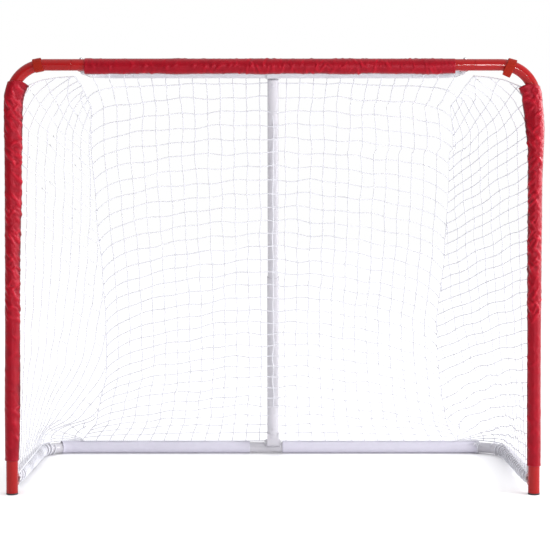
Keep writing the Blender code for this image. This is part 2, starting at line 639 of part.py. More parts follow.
def sleeves():
    """Red sleeves on the posts and the crossbar, and the red strap round each top corner."""
    outer_r = FRAME_TUBE_R + SLEEVE_ADD
    ends = (-CROSSBAR_SLEEVE_HALF, CROSSBAR_SLEEVE_HALF)
    tube("crossbar_sleeve", [Vector((x, FRONT_Y, CROSSBAR_Z)) for x in ends], outer_r, RED_FABRIC, SLEEVE_T)
    for side, word in ((-1, "left"), (1, "right")):
        heights = (POST_SLEEVE_LOW, BEND_START_Z - POST_SLEEVE_TOP_MARGIN)
        tube("post_sleeve_" + word, [Vector((side * POST_X, FRONT_Y, z)) for z in heights],
             outer_r, RED_FABRIC, SLEEVE_T)
        middle = math.pi / 2 - STRAP_ANGLE
        half = STRAP_WIDTH / 2 / FRAME_BEND_R
        centre = (POST_X - FRAME_BEND_R, BEND_START_Z)
        corners = [math.pi / 2 * i / BEND_STEPS for i in range(BEND_STEPS)]
        corners = [angle for angle in corners if abs(angle - middle) < half]
        line = [on_bend(centre, FRAME_BEND_R, angle) for angle in [middle - half] + corners + [middle + half]]
        strap = tube("corner_strap_" + word, [Vector((side * x, FRONT_Y, z)) for x, z in line],
                     outer_r, STRAP_RED, STRAP_T)
        inner = FRAME_BEND_R - outer_r + STRAP_TAIL_SUNK
        tail_middle = inner - STRAP_TAIL_LENGTH / 2
        corner = Vector((STRAP_TAIL_LENGTH, STRAP_TAIL_T, STRAP_TAIL_WIDTH)) / 2
        tail = box("strap_tail_" + word, -corner, corner)
        tail.location = (side * (centre[0] + tail_middle * math.cos(middle)), FRONT_Y,
                         centre[1] + tail_middle * math.sin(middle))
        tail.rotation_euler.y = -side * middle
        boolean(strap, tail, "UNION")


# Net: four flat panels

def panel(name, corners, cells):
    """A square-mesh panel between four corners: low start, low end, top end, top start."""
    low_a, low_b, top_b, top_a = (Vector(corner) for corner in corners)
    across, up = cells
    shape = bmesh.new()
    rows = []
    for j in range(up + 1):
        left = low_a.lerp(top_a, j / up)
        right = low_b.lerp(top_b, j / up)
        rows.append([shape.verts.new(left.lerp(right, i / across)) for i in range(across + 1)])
    for j in range(up):
        for i in range(across):
            shape.faces.new((rows[j][i], rows[j][i + 1], rows[j + 1][i + 1], rows[j + 1][i]))
    shape.normal_update()
    holes = list(shape.faces)
    bmesh.ops.inset_individual(shape, faces=holes, thickness=NET_HALF_CORD, use_even_offset=True)
    bmesh.ops.delete(shape, geom=holes, context="FACES_ONLY")
    mesh = bpy.data.meshes.new(name)
    shape.to_mesh(mesh)
    shape.free()
    obj = piece(name, mesh, NET_CORD)
    cord = obj.modifiers.new("cord", "SOLIDIFY")
    cord.thickness = NET_T
    cord.offset = 0


def net():
    """Back, two sides and top, hung just clear of the tubes that carry them."""
    shift = PROP_LOWER_R + NET_CLEAR + NET_T / 2
    back_line = RAIL + PROP_BACK * shift
    top_z = RAIL.z + SHELF_TUBE_R + GAP + COLLAR_WALL + NET_CLEAR + NET_T / 2
    edge_z = top_z - NET_T / 2 - NET_CLEAR - NET_T / 2
    back_top = back_line - PROP_ALONG * (edge_z - back_line.z) / -PROP_ALONG.z
    to_bar = REAR_BAR - back_line
    along = to_bar.dot(PROP_ALONG)
    aside = to_bar.dot(PROP_BACK)
    clear = BASE_TUBE_R + SLEEVE_ADD + NET_CLEAR + NET_T / 2
    back_low = back_line + PROP_ALONG * (along - math.sqrt(clear ** 2 - aside ** 2))
    seam = NET_CLEAR + NET_T
    panel("net_back", [(-NET_SEAM_LOW_X, back_low.y, back_low.z), (NET_SEAM_LOW_X, back_low.y, back_low.z),
                       (NET_TOP_X, back_top.y, back_top.z), (-NET_TOP_X, back_top.y, back_top.z)], BACK_CELLS)
    sleeve_r = FRAME_TUBE_R + SLEEVE_ADD
    lean = math.atan2(POST_X - NET_TOP_X, back_top.y - FRONT_Y)
    front_y = FRONT_Y + sleeve_r + NET_CLEAR + math.sin(lean) * NET_T / 2
    for side, word in ((-1, "left"), (1, "right")):
        panel("net_" + word, [(side * POST_X, front_y, NET_POST_LOW_Z),
                              (side * (NET_SEAM_LOW_X + seam), back_low.y, back_low.z),
                              (side * (NET_TOP_X + seam), back_top.y, back_top.z),
                              (side * POST_X, front_y, BEND_START_Z - NET_POST_TOP_MARGIN)], SIDE_CELLS)
    drop = top_z - NET_T / 2 - CROSSBAR_Z
    start_y = FRONT_Y + math.sqrt(sleeve_r ** 2 - drop ** 2) + NET_CLEAR
    end_y = back_top.y + NET_T
    panel("net_top", [(-NET_TOP_X, start_y, top_z), (NET_TOP_X, start_y, top_z),
                      (NET_TOP_X, end_y, top_z), (-NET_TOP_X, end_y, top_z)], TOP_CELLS)


front_frame()
hinges()
base()
shelf()
prop_upper()
prop_lower()
sleeves()
net()
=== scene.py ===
"""Looks of the folding street hockey goal: steel tubes, fabric sleeves, straps, hardware and its knotless net."""

import math

import bmesh
import bpy
import numpy as np
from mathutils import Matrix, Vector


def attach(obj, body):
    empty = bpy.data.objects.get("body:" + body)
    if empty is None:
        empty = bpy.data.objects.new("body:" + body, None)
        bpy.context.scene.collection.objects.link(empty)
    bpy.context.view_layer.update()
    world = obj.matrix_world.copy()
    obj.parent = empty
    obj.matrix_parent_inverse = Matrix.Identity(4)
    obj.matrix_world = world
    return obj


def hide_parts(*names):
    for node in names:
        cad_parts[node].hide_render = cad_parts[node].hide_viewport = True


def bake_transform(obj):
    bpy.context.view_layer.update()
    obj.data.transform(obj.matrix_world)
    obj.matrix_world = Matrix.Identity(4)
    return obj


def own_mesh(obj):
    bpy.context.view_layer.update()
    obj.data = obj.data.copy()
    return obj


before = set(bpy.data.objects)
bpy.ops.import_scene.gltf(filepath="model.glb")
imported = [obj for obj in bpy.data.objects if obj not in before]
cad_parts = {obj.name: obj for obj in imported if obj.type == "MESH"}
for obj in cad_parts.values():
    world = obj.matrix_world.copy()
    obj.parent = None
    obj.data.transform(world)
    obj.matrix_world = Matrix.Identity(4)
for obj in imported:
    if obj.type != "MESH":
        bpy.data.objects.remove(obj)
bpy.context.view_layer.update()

MM = 0.001
join = np.concatenate

# Places of the goal, as the CAD has them
POST_X = 0.671
FRONT_Y = -0.2877
TUBE_R = 0.015
TUBE_WALL = 0.0015
BORE_R = TUBE_R - TUBE_WALL
CROSSBAR_Z = 1.103
CORNER_R = 0.088
CORNER_X = POST_X - CORNER_R
CORNER_Z = CROSSBAR_Z - CORNER_R
POST_LOW = 0.0043
SEAM_X = 0.5153
CROSSBAR_HALF = 0.515
STUB_R = 0.0132
STUB_END_X = 0.455
BUTTON_X = 0.491
BUTTON_R = 0.004
BUTTON_LOW = 1.112
BUTTON_TOP = 1.122
BASE_PIVOT = np.array([0.0, -0.2467, 0.031])
REAR_Y = 0.2877
REAR_Z = 0.0173
REAR = np.array([0.0, REAR_Y, REAR_Z])
BASE_SEAM_X = 0.520
BASE_FLAT = (0.0183, 0.007)
BASE_LEAD = 0.012
BASE_STUB_X = 0.460
SHELF_PIVOT = np.array([0.0, -0.2507, 1.0955])
SHELF_X = 0.491
SHELF_R = 0.0125
RAIL_Y = -0.0177
RAIL_SEAM_X = 0.380
RAIL_STUB_X = 0.320
SHELF_BEND = 0.060
SHELF_FLAT = (0.01475, 0.006)
SHELF_LEAD = 0.010
PIN = np.array([0.0, 0.2617, 0.037])
RAIL = np.array([0.0, RAIL_Y, SHELF_PIVOT[2]])
PROP_LENGTH = float(np.linalg.norm(PIN - RAIL))
PROP_DOWN = (PIN - RAIL) / PROP_LENGTH
PROP_LOWER_R = 0.017
X_AXIS, Y_AXIS, Z_AXIS = np.eye(3)
SIDES = (("left", -1.0), ("right", 1.0))


# Materials

def linear(colour):
    """sRGB hex to linear red, green, blue and full alpha."""
    parts = [int(colour[i:i + 2], 16) / 255 for i in (1, 3, 5)]
    return [p / 12.92 if p <= 0.04045 else ((p + 0.055) / 1.055) ** 2.4 for p in parts] + [1.0]


def add(owner, kind, inputs, out=0, **settings):
    """Adds one shader node, with its inputs as values or links and its settings, and gives the wanted output."""
    made = owner.node_tree.nodes.new("ShaderNode" + kind)
    for key, value in settings.items():
        setattr(made, key, value)
    for key, value in inputs.items():
        if isinstance(value, bpy.types.NodeSocket):
            owner.node_tree.links.new(value, made.inputs[key])
        else:
            made.inputs[key].default_value = value
    return made.outputs[out]


# A Mix node's settings for colours, which are its inputs 6 and 7 and its output 2
TONES = {"out": 2, "data_type": "RGBA"}


def finish_of(name, constants):
    """A new material with the values that are the same all over set on its shader, and its object coordinates."""
    material = bpy.data.materials.new(name)
    material.use_nodes = True
    for key, value in constants.items():
        material.node_tree.nodes["Principled BSDF"].inputs[key].default_value = value
    return material, add(material, "TexCoord", {}, "Object")


def wired(material, colour, gloss, *relief):
    """The material, with its colour and roughness linked to its shader, and a bump where a relief is given with its
    strength and its depth."""
    found = {"Base Color": colour, "Roughness": gloss}
    if relief:
        found["Normal"] = add(material, "Bump", dict(zip(("Height", "Strength", "Distance"), relief)))
    for key, value in found.items():
        material.node_tree.links.new(value, material.node_tree.nodes["Principled BSDF"].inputs[key])
    return material


def powder_paint(name, low, high, scuff, rough, coat):
    """Gloss powder paint on steel tube: soft cloudy tone, an orange-peel skin and a few dull rubbed marks."""
    material, place = finish_of(name, {"Coat Weight": coat, "Coat Roughness": 0.07, "IOR": 1.5,
                                       "Specular IOR Level": 0.1})
    cloud = add(material, "TexNoise", {"Vector": place, "Scale": 1 / (70 * MM), "Detail": 2.0})
    tone = add(material, "Mix", {0: cloud, 6: linear(low), 7: linear(high)}, **TONES)
    rub = add(material, "TexNoise", {"Vector": place, "Scale": 1 / (9 * MM), "Detail": 5.0})
    rubbed = add(material, "MapRange", {"Value": rub, "From Min": 0.66, "From Max": 0.78, "To Max": 0.55})
    colour = add(material, "Mix", {0: rubbed, 6: tone, 7: linear(scuff)}, **TONES)
    gloss = add(material, "MapRange", {"Value": rub, "From Min": 0.3, "From Max": 0.8, "To Min": rough,
                                       "To Max": rough + 0.2})
    # The real skin waves over about 1 mm. It is drawn at 3 mm to show.
    peel = add(material, "TexNoise", {"Vector": place, "Scale": 1 / (3 * MM), "Detail": 1.0})
    return wired(material, colour, gloss, peel, 0.05, 0.3 * MM)


def woven(name, valley_shade, middle, ridge_highlight, thread, rough, sheen, sheen_tint, depth, shine=0.18):
    """Woven nylon: two crossed threads, with painted shade in the hollows of its folds and a painted highlight on their
    crests, read from a point attribute, a satin sheen and a gloss of shine's strength that takes the dye's tint."""
    material, place = finish_of(name, {"Sheen Weight": sheen, "Sheen Roughness": 0.35, "Specular IOR Level": shine,
                                       "Sheen Tint": linear(sheen_tint), "Specular Tint": linear(sheen_tint)})
    cloth = add(material, "UVMap", {}, uv_map="cloth")
    fold_shade = add(material, "Attribute", {}, "Fac", attribute_name="fold_shade")
    # Painted shade and highlight: the attribute below 0.5 goes towards the hollows' painted shade colour, and above
    # 0.55 towards the crests' painted highlight colour.
    low = add(material, "MapRange", {"Value": fold_shade, "From Max": 0.5})
    high = add(material, "MapRange", {"Value": fold_shade, "From Min": 0.55})
    tone = add(material, "Mix", {0: low, 6: linear(valley_shade), 7: linear(middle)}, **TONES)
    lit = add(material, "Mix", {0: high, 6: tone, 7: linear(ridge_highlight)}, **TONES)
    # A random cloudy tone darkens patches towards the same dark colour.
    cloud = add(material, "TexNoise", {"Vector": place, "Scale": 1 / (25 * MM), "Detail": 3.0})
    shade = add(material, "MapRange", {"Value": cloud, "From Min": 0.3, "From Max": 0.7, "To Max": 0.3})
    colour = add(material, "Mix", {0: shade, 6: lit, 7: linear(valley_shade)}, **TONES)
    # Real threads are 0.25 mm apart. They are drawn at the given spacing to show.
    warp, weft = (add(material, "TexWave", {"Vector": cloth, "Scale": 0.05 / thread * 6.283, "Distortion": 0.4},
                      "Fac", bands_direction=way) for way in "XY")
    weave = add(material, "Math", {0: warp, 1: weft}, operation="MAXIMUM")
    gloss = add(material, "MapRange", {"Value": weave, "To Min": rough + 0.12, "To Max": rough})
    return wired(material, colour, gloss, weave, 0.35, depth)


def braided(name, shade_and_dirt, thread, pitch, rough):
    """Braided white polyester cord: slanted strands round it, with painted shade in the grooves between them, darkened
    further by random dirt, and a dull fibrous surface.
    """
    material, place = finish_of(name, {"Sheen Weight": 0.25, "Sheen Roughness": 0.5, "IOR": 1.5})
    cord = add(material, "UVMap", {}, uv_map="cloth")
    # Real strands repeat every 2 mm. They are drawn at the given pitch to show.
    strand = add(material, "TexWave", {"Vector": cord, "Scale": 0.05 / pitch * 6.283, "Distortion": 0.6}, "Fac",
                 bands_direction="DIAGONAL")
    dirt = add(material, "TexNoise", {"Vector": place, "Scale": 1 / (40 * MM), "Detail": 2.0})
    mixed = add(material, "Math", {0: strand, 1: dirt}, operation="MULTIPLY")
    share = add(material, "MapRange", {"Value": mixed, "From Max": 0.45})
    # The first colour is painted shade in the strands' grooves, mixed with random dirt.
    colour = add(material, "Mix", {0: share, 6: linear(shade_and_dirt), 7: linear(thread)}, **TONES)
    gloss = add(material, "MapRange", {"Value": strand, "To Min": rough + 0.15, "To Max": rough})
    return wired(material, colour, gloss, strand, 0.4, 0.3 * MM)


def plated(name, low, high, rough):
    """Zinc-plated steel: grey-white metal with soft spangles and fine wear that breaks up its gloss."""
    material, place = finish_of(name, {"Metallic": 1.0})
    spangle = add(material, "TexVoronoi", {"Vector": place, "Scale": 1 / (1.5 * MM)})
    grain = add(material, "TexNoise", {"Vector": place, "Scale": 1 / (0.8 * MM), "Detail": 3.0})
    colour = add(material, "Mix", {0: spangle, 6: linear(low), 7: linear(high)}, **TONES)
    gloss = add(material, "MapRange", {"Value": grain, "To Min": rough, "To Max": rough + 0.25})
    return wired(material, colour, gloss, grain, 0.15, 0.1 * MM)


def moulded(name, low, high, rough):
    """Moulded polyethylene: an even dark skin with a fine spark-eroded grain and pale scuffs near the floor."""
    material, place = finish_of(name, {"IOR": 1.51})
    grain = add(material, "TexNoise", {"Vector": place, "Scale": 1 / (1.2 * MM), "Detail": 4.0})
    scuffed = add(material, "MapRange", {"Value": grain, "From Min": 0.45, "From Max": 0.75})
    colour = add(material, "Mix", {0: scuffed, 6: linear(low), 7: linear(high)}, **TONES)
    gloss = add(material, "MapRange", {"Value": grain, "To Min": rough, "To Max": rough + 0.2})
    return wired(material, colour, gloss, grain, 0.2, 0.1 * MM)


def studio_floor():
    """A pale painted studio floor, almost white, with a faint cloudy tone so that it isn't one flat colour."""
    material, place = finish_of("pale_floor", {"Specular IOR Level": 0.2})
    cloud = add(material, "TexNoise", {"Vector": place, "Scale": 1.5, "Detail": 2.0})
    colour = add(material, "Mix", {0: cloud, 6: linear("#FAFAFC"), 7: linear("#FDFDFE")}, **TONES)
    gloss = add(material, "MapRange", {"Value": cloud, "To Min": 0.7, "To Max": 0.8})
    return wired(material, colour, gloss)


# The material of each slot
LOOKS = {
    "red_tube": powder_paint("red_powder_paint", "#8A0507", "#98090B", "#7A2422", 0.3, 0.32),
    "white_tube": powder_paint("white_powder_paint", "#B8B6BC", "#C1BFC6", "#A6A5AB", 0.24, 0.5),
    # The first colour of a woven finish is its painted shade in folds' hollows, and the third its painted highlight on
    # their crests.
    "red_sleeve": woven("red_nylon_satin", "#4C0008", "#880010", "#A40A1E", 1.6 * MM, 0.3, 0.03, "#FF8496", 0.25 * MM,
                        0.6),
    "white_sleeve": woven("white_nylon_satin", "#BAB8C5", "#C5C2CF", "#CECCD7", 1.6 * MM, 0.45, 0.05, "#FFFFFF",
                          0.25 * MM),
    "red_strap": woven("red_hook_and_loop", "#6E120C", "#8C1E12", "#9C2A1A", 1.5 * MM, 0.6, 0.1, "#FFB0A0", 0.4 * MM),
    # The cord's first colour is painted shade in its grooves, mixed with dirt.
    "net_cord": braided("white_braided_cord", "#C6C6CE", "#D9D9DF", 3.0 * MM, 0.6),
    "zinc": plated("zinc_plate", "#A9AAAE", "#D4D5D8", 0.25),
    "black_cap": moulded("black_polyethylene", "#17171A", "#3A3A3E", 0.45),
}


# Surfaces

def unit(lines):
    """Directions of length one."""
    return lines / np.linalg.norm(lines, axis=-1, keepdims=True)


def turns(around):
    """Angles evenly round a ring."""
    return np.arange(around) / around * 2 * math.pi


def spots(x, y, z):
    """Points from their coordinates, each one number or many."""
    return np.stack(np.broadcast_arrays(x, y, z), axis=-1)


def smooth(share):
    """A share from 0 to 1, eased at both ends: 3 x^2 - 2 x^3."""
    return share * share * (3 - 2 * share)


def resample(path, s):
    """Places and directions on a line of points at the distances s along it, straight between its points."""
    reach = join([[0.0], np.cumsum(np.linalg.norm(np.diff(path, axis=0), axis=1))])
    slope = np.gradient(path, reach, axis=0)
    place, ahead = (np.stack([np.interp(s, reach, line[:, k]) for k in range(3)], axis=-1) for line in (path, slope))
    return place, unit(ahead)


def length_of(path):
    """Length of a line of points."""
    return float(np.linalg.norm(np.diff(path, axis=0), axis=1).sum())


def rings(path, s, across, side, around=32, square=2.0):
    """Rings on a path: at distance s a point turns round it at the given radius, from side towards ahead x side. s is
    one distance for each ring or each point. across is one radius, or one for each ring or each point; a pair gives two
    half widths, along side and across it. square above 2 makes a ring a rounded rectangle."""
    s = np.asarray(s, float)
    s = np.broadcast_to(s[:, None] if s.ndim == 1 else s, (len(s), around))
    place, ahead = resample(np.asarray(path, float), s)
    side = np.broadcast_to(side, place.shape)
    side = unit(side - (side * ahead).sum(-1, keepdims=True) * ahead)
    points = place
    both = across if isinstance(across, tuple) else (across, across)
    for half, wave, way in zip(both, (np.cos, np.sin), (side, np.cross(ahead, side))):
        wave = wave(turns(around))
        half = np.asarray(half, float).reshape(-1, 1) if np.ndim(half) < 2 else half
        points = points + (half * np.sign(wave) * np.abs(wave) ** (2 / square))[..., None] * way
    return points


def part(points, loop=False, fold_shade=None):
    """Faces over a grid of rings: quads from ring to ring and round each ring, and a fan to the middle at both ends,
    or the last ring joined to the first where loop is true. Lengths along and round it in metres are its UV."""
    points = np.asarray(points, float)
    n, m = points.shape[:2]
    index = np.arange(n * m).reshape(n, m)
    index = join([index, index[:, :1]], axis=1)
    u = join([[0.0], np.cumsum(np.linalg.norm(np.diff(points, axis=0), axis=2).mean(1))])
    edge = np.linalg.norm(points - np.roll(points, -1, axis=1), axis=2)
    v = join([[0.0], np.cumsum(edge.max(0))])
    if loop:
        index = join([index, index[:1]], axis=0)
        u = np.append(u, u[-1] + np.linalg.norm(points[0] - points[-1], axis=1).mean())
    uv = np.stack(np.meshgrid(u, v, indexing="ij"), axis=-1)
    low, high = slice(None, -1), slice(1, None)
    corners = ((low, low), (low, high), (high, high), (high, low))
    quads = np.stack([index[c] for c in corners], axis=-1).reshape(-1, 4)
    quad_uv = np.stack([uv[c] for c in corners], axis=-2).reshape(-1, 2)
    verts = points.reshape(-1, 3)
    # Each point's tone for painted shade in folds' hollows and painted highlight on their crests; 0 where none is
    # given.
    height = np.zeros(n * m) if fold_shade is None else np.asarray(fold_shade, float).reshape(-1)
    tris, tri_uv = [np.zeros((0, 3), int)], [np.zeros((0, 2))]
    for row in () if loop else (0, n - 1):
        a, b = (index[row, 1:], index[row, :-1]) if row == 0 else (index[row, :-1], index[row, 1:])
        tris.append(np.stack([np.full(m, len(verts)), a, b], axis=-1))
        verts = join([verts, points[row].mean(0)[None]])
        height = np.append(height, height[row * m])
        flat = np.zeros((m, 3))
        tri_uv.append(np.stack([flat + u[row], flat + v[:-1, None]], axis=-1).reshape(-1, 2))
    return {"verts": verts, "quads": quads, "quad_uv": quad_uv, "height": height, "tris": join(tris),
            "tri_uv": join(tri_uv)}


def placed(name, data):
    """A new object in the scene."""
    made = bpy.data.objects.new(name, data)
    bpy.context.scene.collection.objects.link(made)
    return made


def piece(name, parts, body, slot, nodes=(), sharp=None):
    """One object from its parts, in one mesh, riding on its body and standing for its CAD nodes."""
    starts = np.cumsum([0] + [len(p["verts"]) for p in parts])
    verts = join([p["verts"] for p in parts])
    quads, tris = (join([p[kind] + k for p, k in zip(parts, starts)]) for kind in ("quads", "tris"))
    corners = join([quads.reshape(-1), tris.reshape(-1)])
    uv = join([p["quad_uv"] for p in parts] + [p["tri_uv"] for p in parts])
    totals = join([np.full(len(quads), 4), np.full(len(tris), 3)])
    mesh = bpy.data.meshes.new(name)
    mesh.vertices.add(len(verts))
    mesh.vertices.foreach_set("co", verts.astype(np.float32).ravel())
    mesh.loops.add(len(corners))
    mesh.loops.foreach_set("vertex_index", corners.astype(np.int32))
    mesh.polygons.add(len(totals))
    mesh.polygons.foreach_set("loop_start", join([[0], np.cumsum(totals)[:-1]]).astype(np.int32))
    mesh.polygons.foreach_set("loop_total", totals.astype(np.int32))
    mesh.update(calc_edges=True)
    mesh.uv_layers.new(name="cloth").data.foreach_set("uv", uv.astype(np.float32).ravel())
    # The points' painted tone of shade and highlight in folds goes to the mesh as a point attribute.
    heights = mesh.attributes.new("fold_shade", "FLOAT", "POINT")
    heights.data.foreach_set("value", join([p["height"] for p in parts]).astype(np.float32))
    mesh.shade_smooth()
    if sharp is not None:
        mesh.set_sharp_from_angle(angle=math.radians(sharp))
    mesh.materials.append(LOOKS[slot])
    made = placed(name, mesh)
    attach(made, body)
    if nodes:
        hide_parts(*nodes)
    return made


def between(low, high, step):
    """Evenly spaced distances from low to high, about step apart."""
    return np.linspace(low, high, max(2, int(round(abs(high - low) / step)) + 1))


def rounded(length, radius, edge, step):
    """Distances and radii of a round bar with its end edges rounded, as quarter circles of the radius edge."""
    start = edge * (1 - np.cos(np.linspace(0, math.pi / 2, 5)))
    s = join([start, between(edge, length - edge, step)[1:-1], length - start[::-1]])
    near = np.minimum(np.minimum(s, length - s), edge)
    return s, radius - edge + np.sqrt(np.maximum(edge ** 2 - (edge - near) ** 2, 0))


def bar(path, radius, side, step=0.01, around=32):
    """A round bar along a path, closed at both ends."""
    s, r = rounded(length_of(path), radius, 0.0006, step)
    return part(rings(path, s, r, side, around))


def pipe(path, outer, inner, side, step=0.01, lip=0.0004, around=32):
    """A pipe along a path: out along its skin, over the lip, back along its bore and over the other lip."""
    length = length_of(path)
    s = between(lip, length - lip, step)
    there = join([s, [length, length], s[::-1], [0.0, 0.0]])
    skin, bore = np.full(len(s), outer), np.full(len(s), inner)
    r = join([skin, [outer - lip, inner + lip], bore, [inner + lip, outer - lip]])
    return part(rings(path, there, r, side, around), loop=True)


def level(half, y, z):
    """A line across the goal, as long on both sides of its middle."""
    return np.array([[-half, y, z], [half, y, z]])


def turned(start, way, profile, around=28):
    """A turned piece: each pair of the profile is a distance from start along way and a radius round it."""
    profile = np.asarray(profile, float)
    reach = max(profile[:, 0].max(), 0.001)
    side = Z_AXIS if abs(way[2]) < 0.9 else X_AXIS
    return part(rings(np.array([start, np.asarray(start) + way * reach]), profile[:, 0], profile[:, 1], side, around))


def dome(base, radius, height):
    """Profile pairs of a rounded head: from its rim at base up a quarter ellipse to its top."""
    turn = np.linspace(0, math.pi / 2 * 0.97, 9)
    return [(base + height * math.sin(a), radius * math.cos(a)) for a in turn]


def corner_path(start, corner, end, radius):
    """Start to end by way of corner, with the corner rounded: straight, an arc of the given radius, straight."""
    start, corner, end = (np.asarray(p, float) for p in (start, corner, end))
    a, b = unit(start - corner), unit(end - corner)
    half = math.acos(float(np.clip(a @ b, -1, 1))) / 2
    reach = radius / math.tan(half)
    middle = corner + unit(a + b) * radius / math.sin(half)
    sweep = math.pi - 2 * half
    t = np.linspace(0, sweep, max(3, int(sweep / math.radians(2))))[:, None]
    first = corner + a * reach - middle
    across = unit(np.cross(np.cross(first, corner + b * reach - middle), first)) * radius
    return join([start[None], middle + np.cos(t) * first + np.sin(t) * across, end[None]])


def cut_hole(target, way):
    """The drilled hole of a lock button: a closed cylinder is taken out of the piece."""
    centre = np.array([way * BUTTON_X, FRONT_Y, CROSSBAR_Z])
    reach = 0.03
    line = np.array([centre, centre + Z_AXIS * reach])
    drill = piece("drill", [bar(line, BUTTON_R + 0.0004, X_AXIS, step=reach, around=40)], "frame", "zinc")
    modifier = target.modifiers.new("hole", "BOOLEAN")
    modifier.operation = "DIFFERENCE"
    modifier.solver = "EXACT"
    modifier.object = drill
    bpy.context.view_layer.update()
    mesh = bpy.data.meshes.new_from_object(target.evaluated_get(bpy.context.evaluated_depsgraph_get()))
    target.modifiers.clear()
    target.data = mesh
    mesh.set_sharp_from_angle(angle=math.radians(35))
    bpy.data.objects.remove(drill)


def softened(name, node, body, slot, edge, height=None, share=1.0):
    """A copy of a CAD node with its doubles merged, its edges bevelled and its round faces shaded smooth. What is below
    the given height is drawn up to it, to the given share of its depth. Without a body it is left unattached."""
    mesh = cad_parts[node].data.copy()
    made = bmesh.new()
    made.from_mesh(mesh)
    bmesh.ops.remove_doubles(made, verts=made.verts, dist=0.00001)
    bmesh.ops.dissolve_limit(made, angle_limit=math.radians(1), verts=made.verts, edges=made.edges)
    made.to_mesh(mesh)
    made.free()
    if height is not None:
        place = np.zeros(len(mesh.vertices) * 3, np.float32)
        mesh.vertices.foreach_get("co", place)
        z = place[2::3]
        place[2::3] = np.where(z < height, height - (height - z) * share, z)
        mesh.vertices.foreach_set("co", place)
    mesh.name = name
    mesh.materials.clear()
    mesh.materials.append(LOOKS[slot])
    mesh.shade_smooth()
    mesh.set_sharp_from_angle(angle=math.radians(30))
    copy = placed(name, mesh)
    bevel = copy.modifiers.new("edges", "BEVEL")
    bevel.width = edge
    bevel.segments = 2
    bevel.limit_method = "ANGLE"
    bevel.angle_limit = math.radians(30)
    bevel.harden_normals = True
    if body:
        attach(copy, body)
    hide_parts(node)
    return copy


# Front frame

def post_path(way):
    """A corner piece's line: up the post, round the corner and in along the crossbar to the stub's end."""
    return corner_path((way * POST_X, FRONT_Y, POST_LOW), (way * POST_X, FRONT_Y, CROSSBAR_Z),
                       (way * STUB_END_X, FRONT_Y, CROSSBAR_Z), CORNER_R)


def corner_piece(side, way):
    """Post, corner bend and narrowed stub in one pipe: its skin steps down over the taper, its bore narrows with it."""
    path = post_path(way)
    length = length_of(path)
    seam = length - (SEAM_X - STUB_END_X)
    taper = 0.0008
    lip = 0.0004
    stub_bore = STUB_R - TUBE_WALL
    wide = join([between(lip, CORNER_Z - POST_LOW, 0.02), between(CORNER_Z - POST_LOW, seam - taper, 0.004)[1:]])
    stub = between(seam + lip, length - lip, 0.008)
    s_skin = join([wide, [seam - taper * 0.3], stub])
    r_skin = join([np.full(len(wide), TUBE_R), [TUBE_R - 0.0004], np.full(len(stub), STUB_R)])
    r_bore = join([np.full(len(wide), BORE_R), [BORE_R - 0.001], np.full(len(stub), stub_bore)])
    s = join([s_skin, [length, length], s_skin[::-1], [0.0, 0.0]])
    r = join([r_skin, [STUB_R - lip, stub_bore + lip], r_bore[::-1], [BORE_R + lip, TUBE_R - lip]])
    made = piece(f"corner_piece_{side}", [part(rings(path, s, r, Y_AXIS, 40), loop=True)],
                 "frame", "red_tube", [f"post_{side}"], sharp=35)
    cut_hole(made, way)


for side, way in SIDES:
    corner_piece(side, way)

crossbar = piece("crossbar_tube", [pipe(level(CROSSBAR_HALF, FRONT_Y, CROSSBAR_Z), TUBE_R, BORE_R, Y_AXIS, 0.02,
                                        around=40)],
                 "frame", "red_tube", ["crossbar"], sharp=35)
CAP_LIP = 0.0003
CAP_PROFILE = [(0.0, TUBE_R - 0.0012), (0.0004, TUBE_R - 0.0004), (0.0012, TUBE_R + CAP_LIP),
               (0.0036, TUBE_R + CAP_LIP), (0.004, TUBE_R), (0.004, STUB_R), (0.029, STUB_R), (0.03, STUB_R - 0.001)]
BUTTON_CROWN = 0.0022
BUTTON_PROFILE = ([(0.0, 0.0052), (0.0011, 0.0052), (0.0012, 0.005), (0.0012, BUTTON_R)]
                  + dome(BUTTON_TOP - BUTTON_LOW - BUTTON_CROWN, BUTTON_R, BUTTON_CROWN))
for side, way in SIDES:
    cut_hole(crossbar, way)
    piece(f"foot_cap_{side}", [turned((way * POST_X, FRONT_Y, 0.0), Z_AXIS, CAP_PROFILE, 40)], "frame",
          "black_cap", [f"post_cap_{side}"], sharp=50)
    piece(f"lock_button_{side}", [turned((way * BUTTON_X, FRONT_Y, BUTTON_LOW), Z_AXIS, BUTTON_PROFILE)],
          f"button_{side}", "zinc", [f"snap_button_{side}"], sharp=50)
    leaf = softened(f"button_leaf_{side}", f"button_spring_{side}", None, "zinc", 0.00008)
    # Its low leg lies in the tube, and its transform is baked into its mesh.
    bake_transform(leaf)


# Hinges: lugs, bolts and nuts

BOLT_R = 0.004
BOLT_HEAD_R = 0.0075
BOLT_PAST_NUT = 0.0015
NUT_FLAT = 0.0065
NUT_HIGH = 0.0055
NUT_HOLE_R = 0.0043


def nut(start, way):
    """A hex nut: its outline's radius is flat / cos of the angle from each flat's middle, chamfered by a cone at its
    ends."""
    around = 72
    across = NUT_FLAT / np.cos((turns(around) + math.pi / 6) % (math.pi / 3) - math.pi / 6)
    cone = across.max()
    s = np.array([0.0, 0.0, 0.0006, NUT_HIGH - 0.0006, NUT_HIGH, NUT_HIGH])
    limit = np.array([NUT_HOLE_R, cone - 0.001, cone, cone, cone - 0.001, NUT_HOLE_R])[:, None]
    return part(rings(np.array([start, start + way * NUT_HIGH]), s, np.minimum(across[None], limit), Z_AXIS, around))


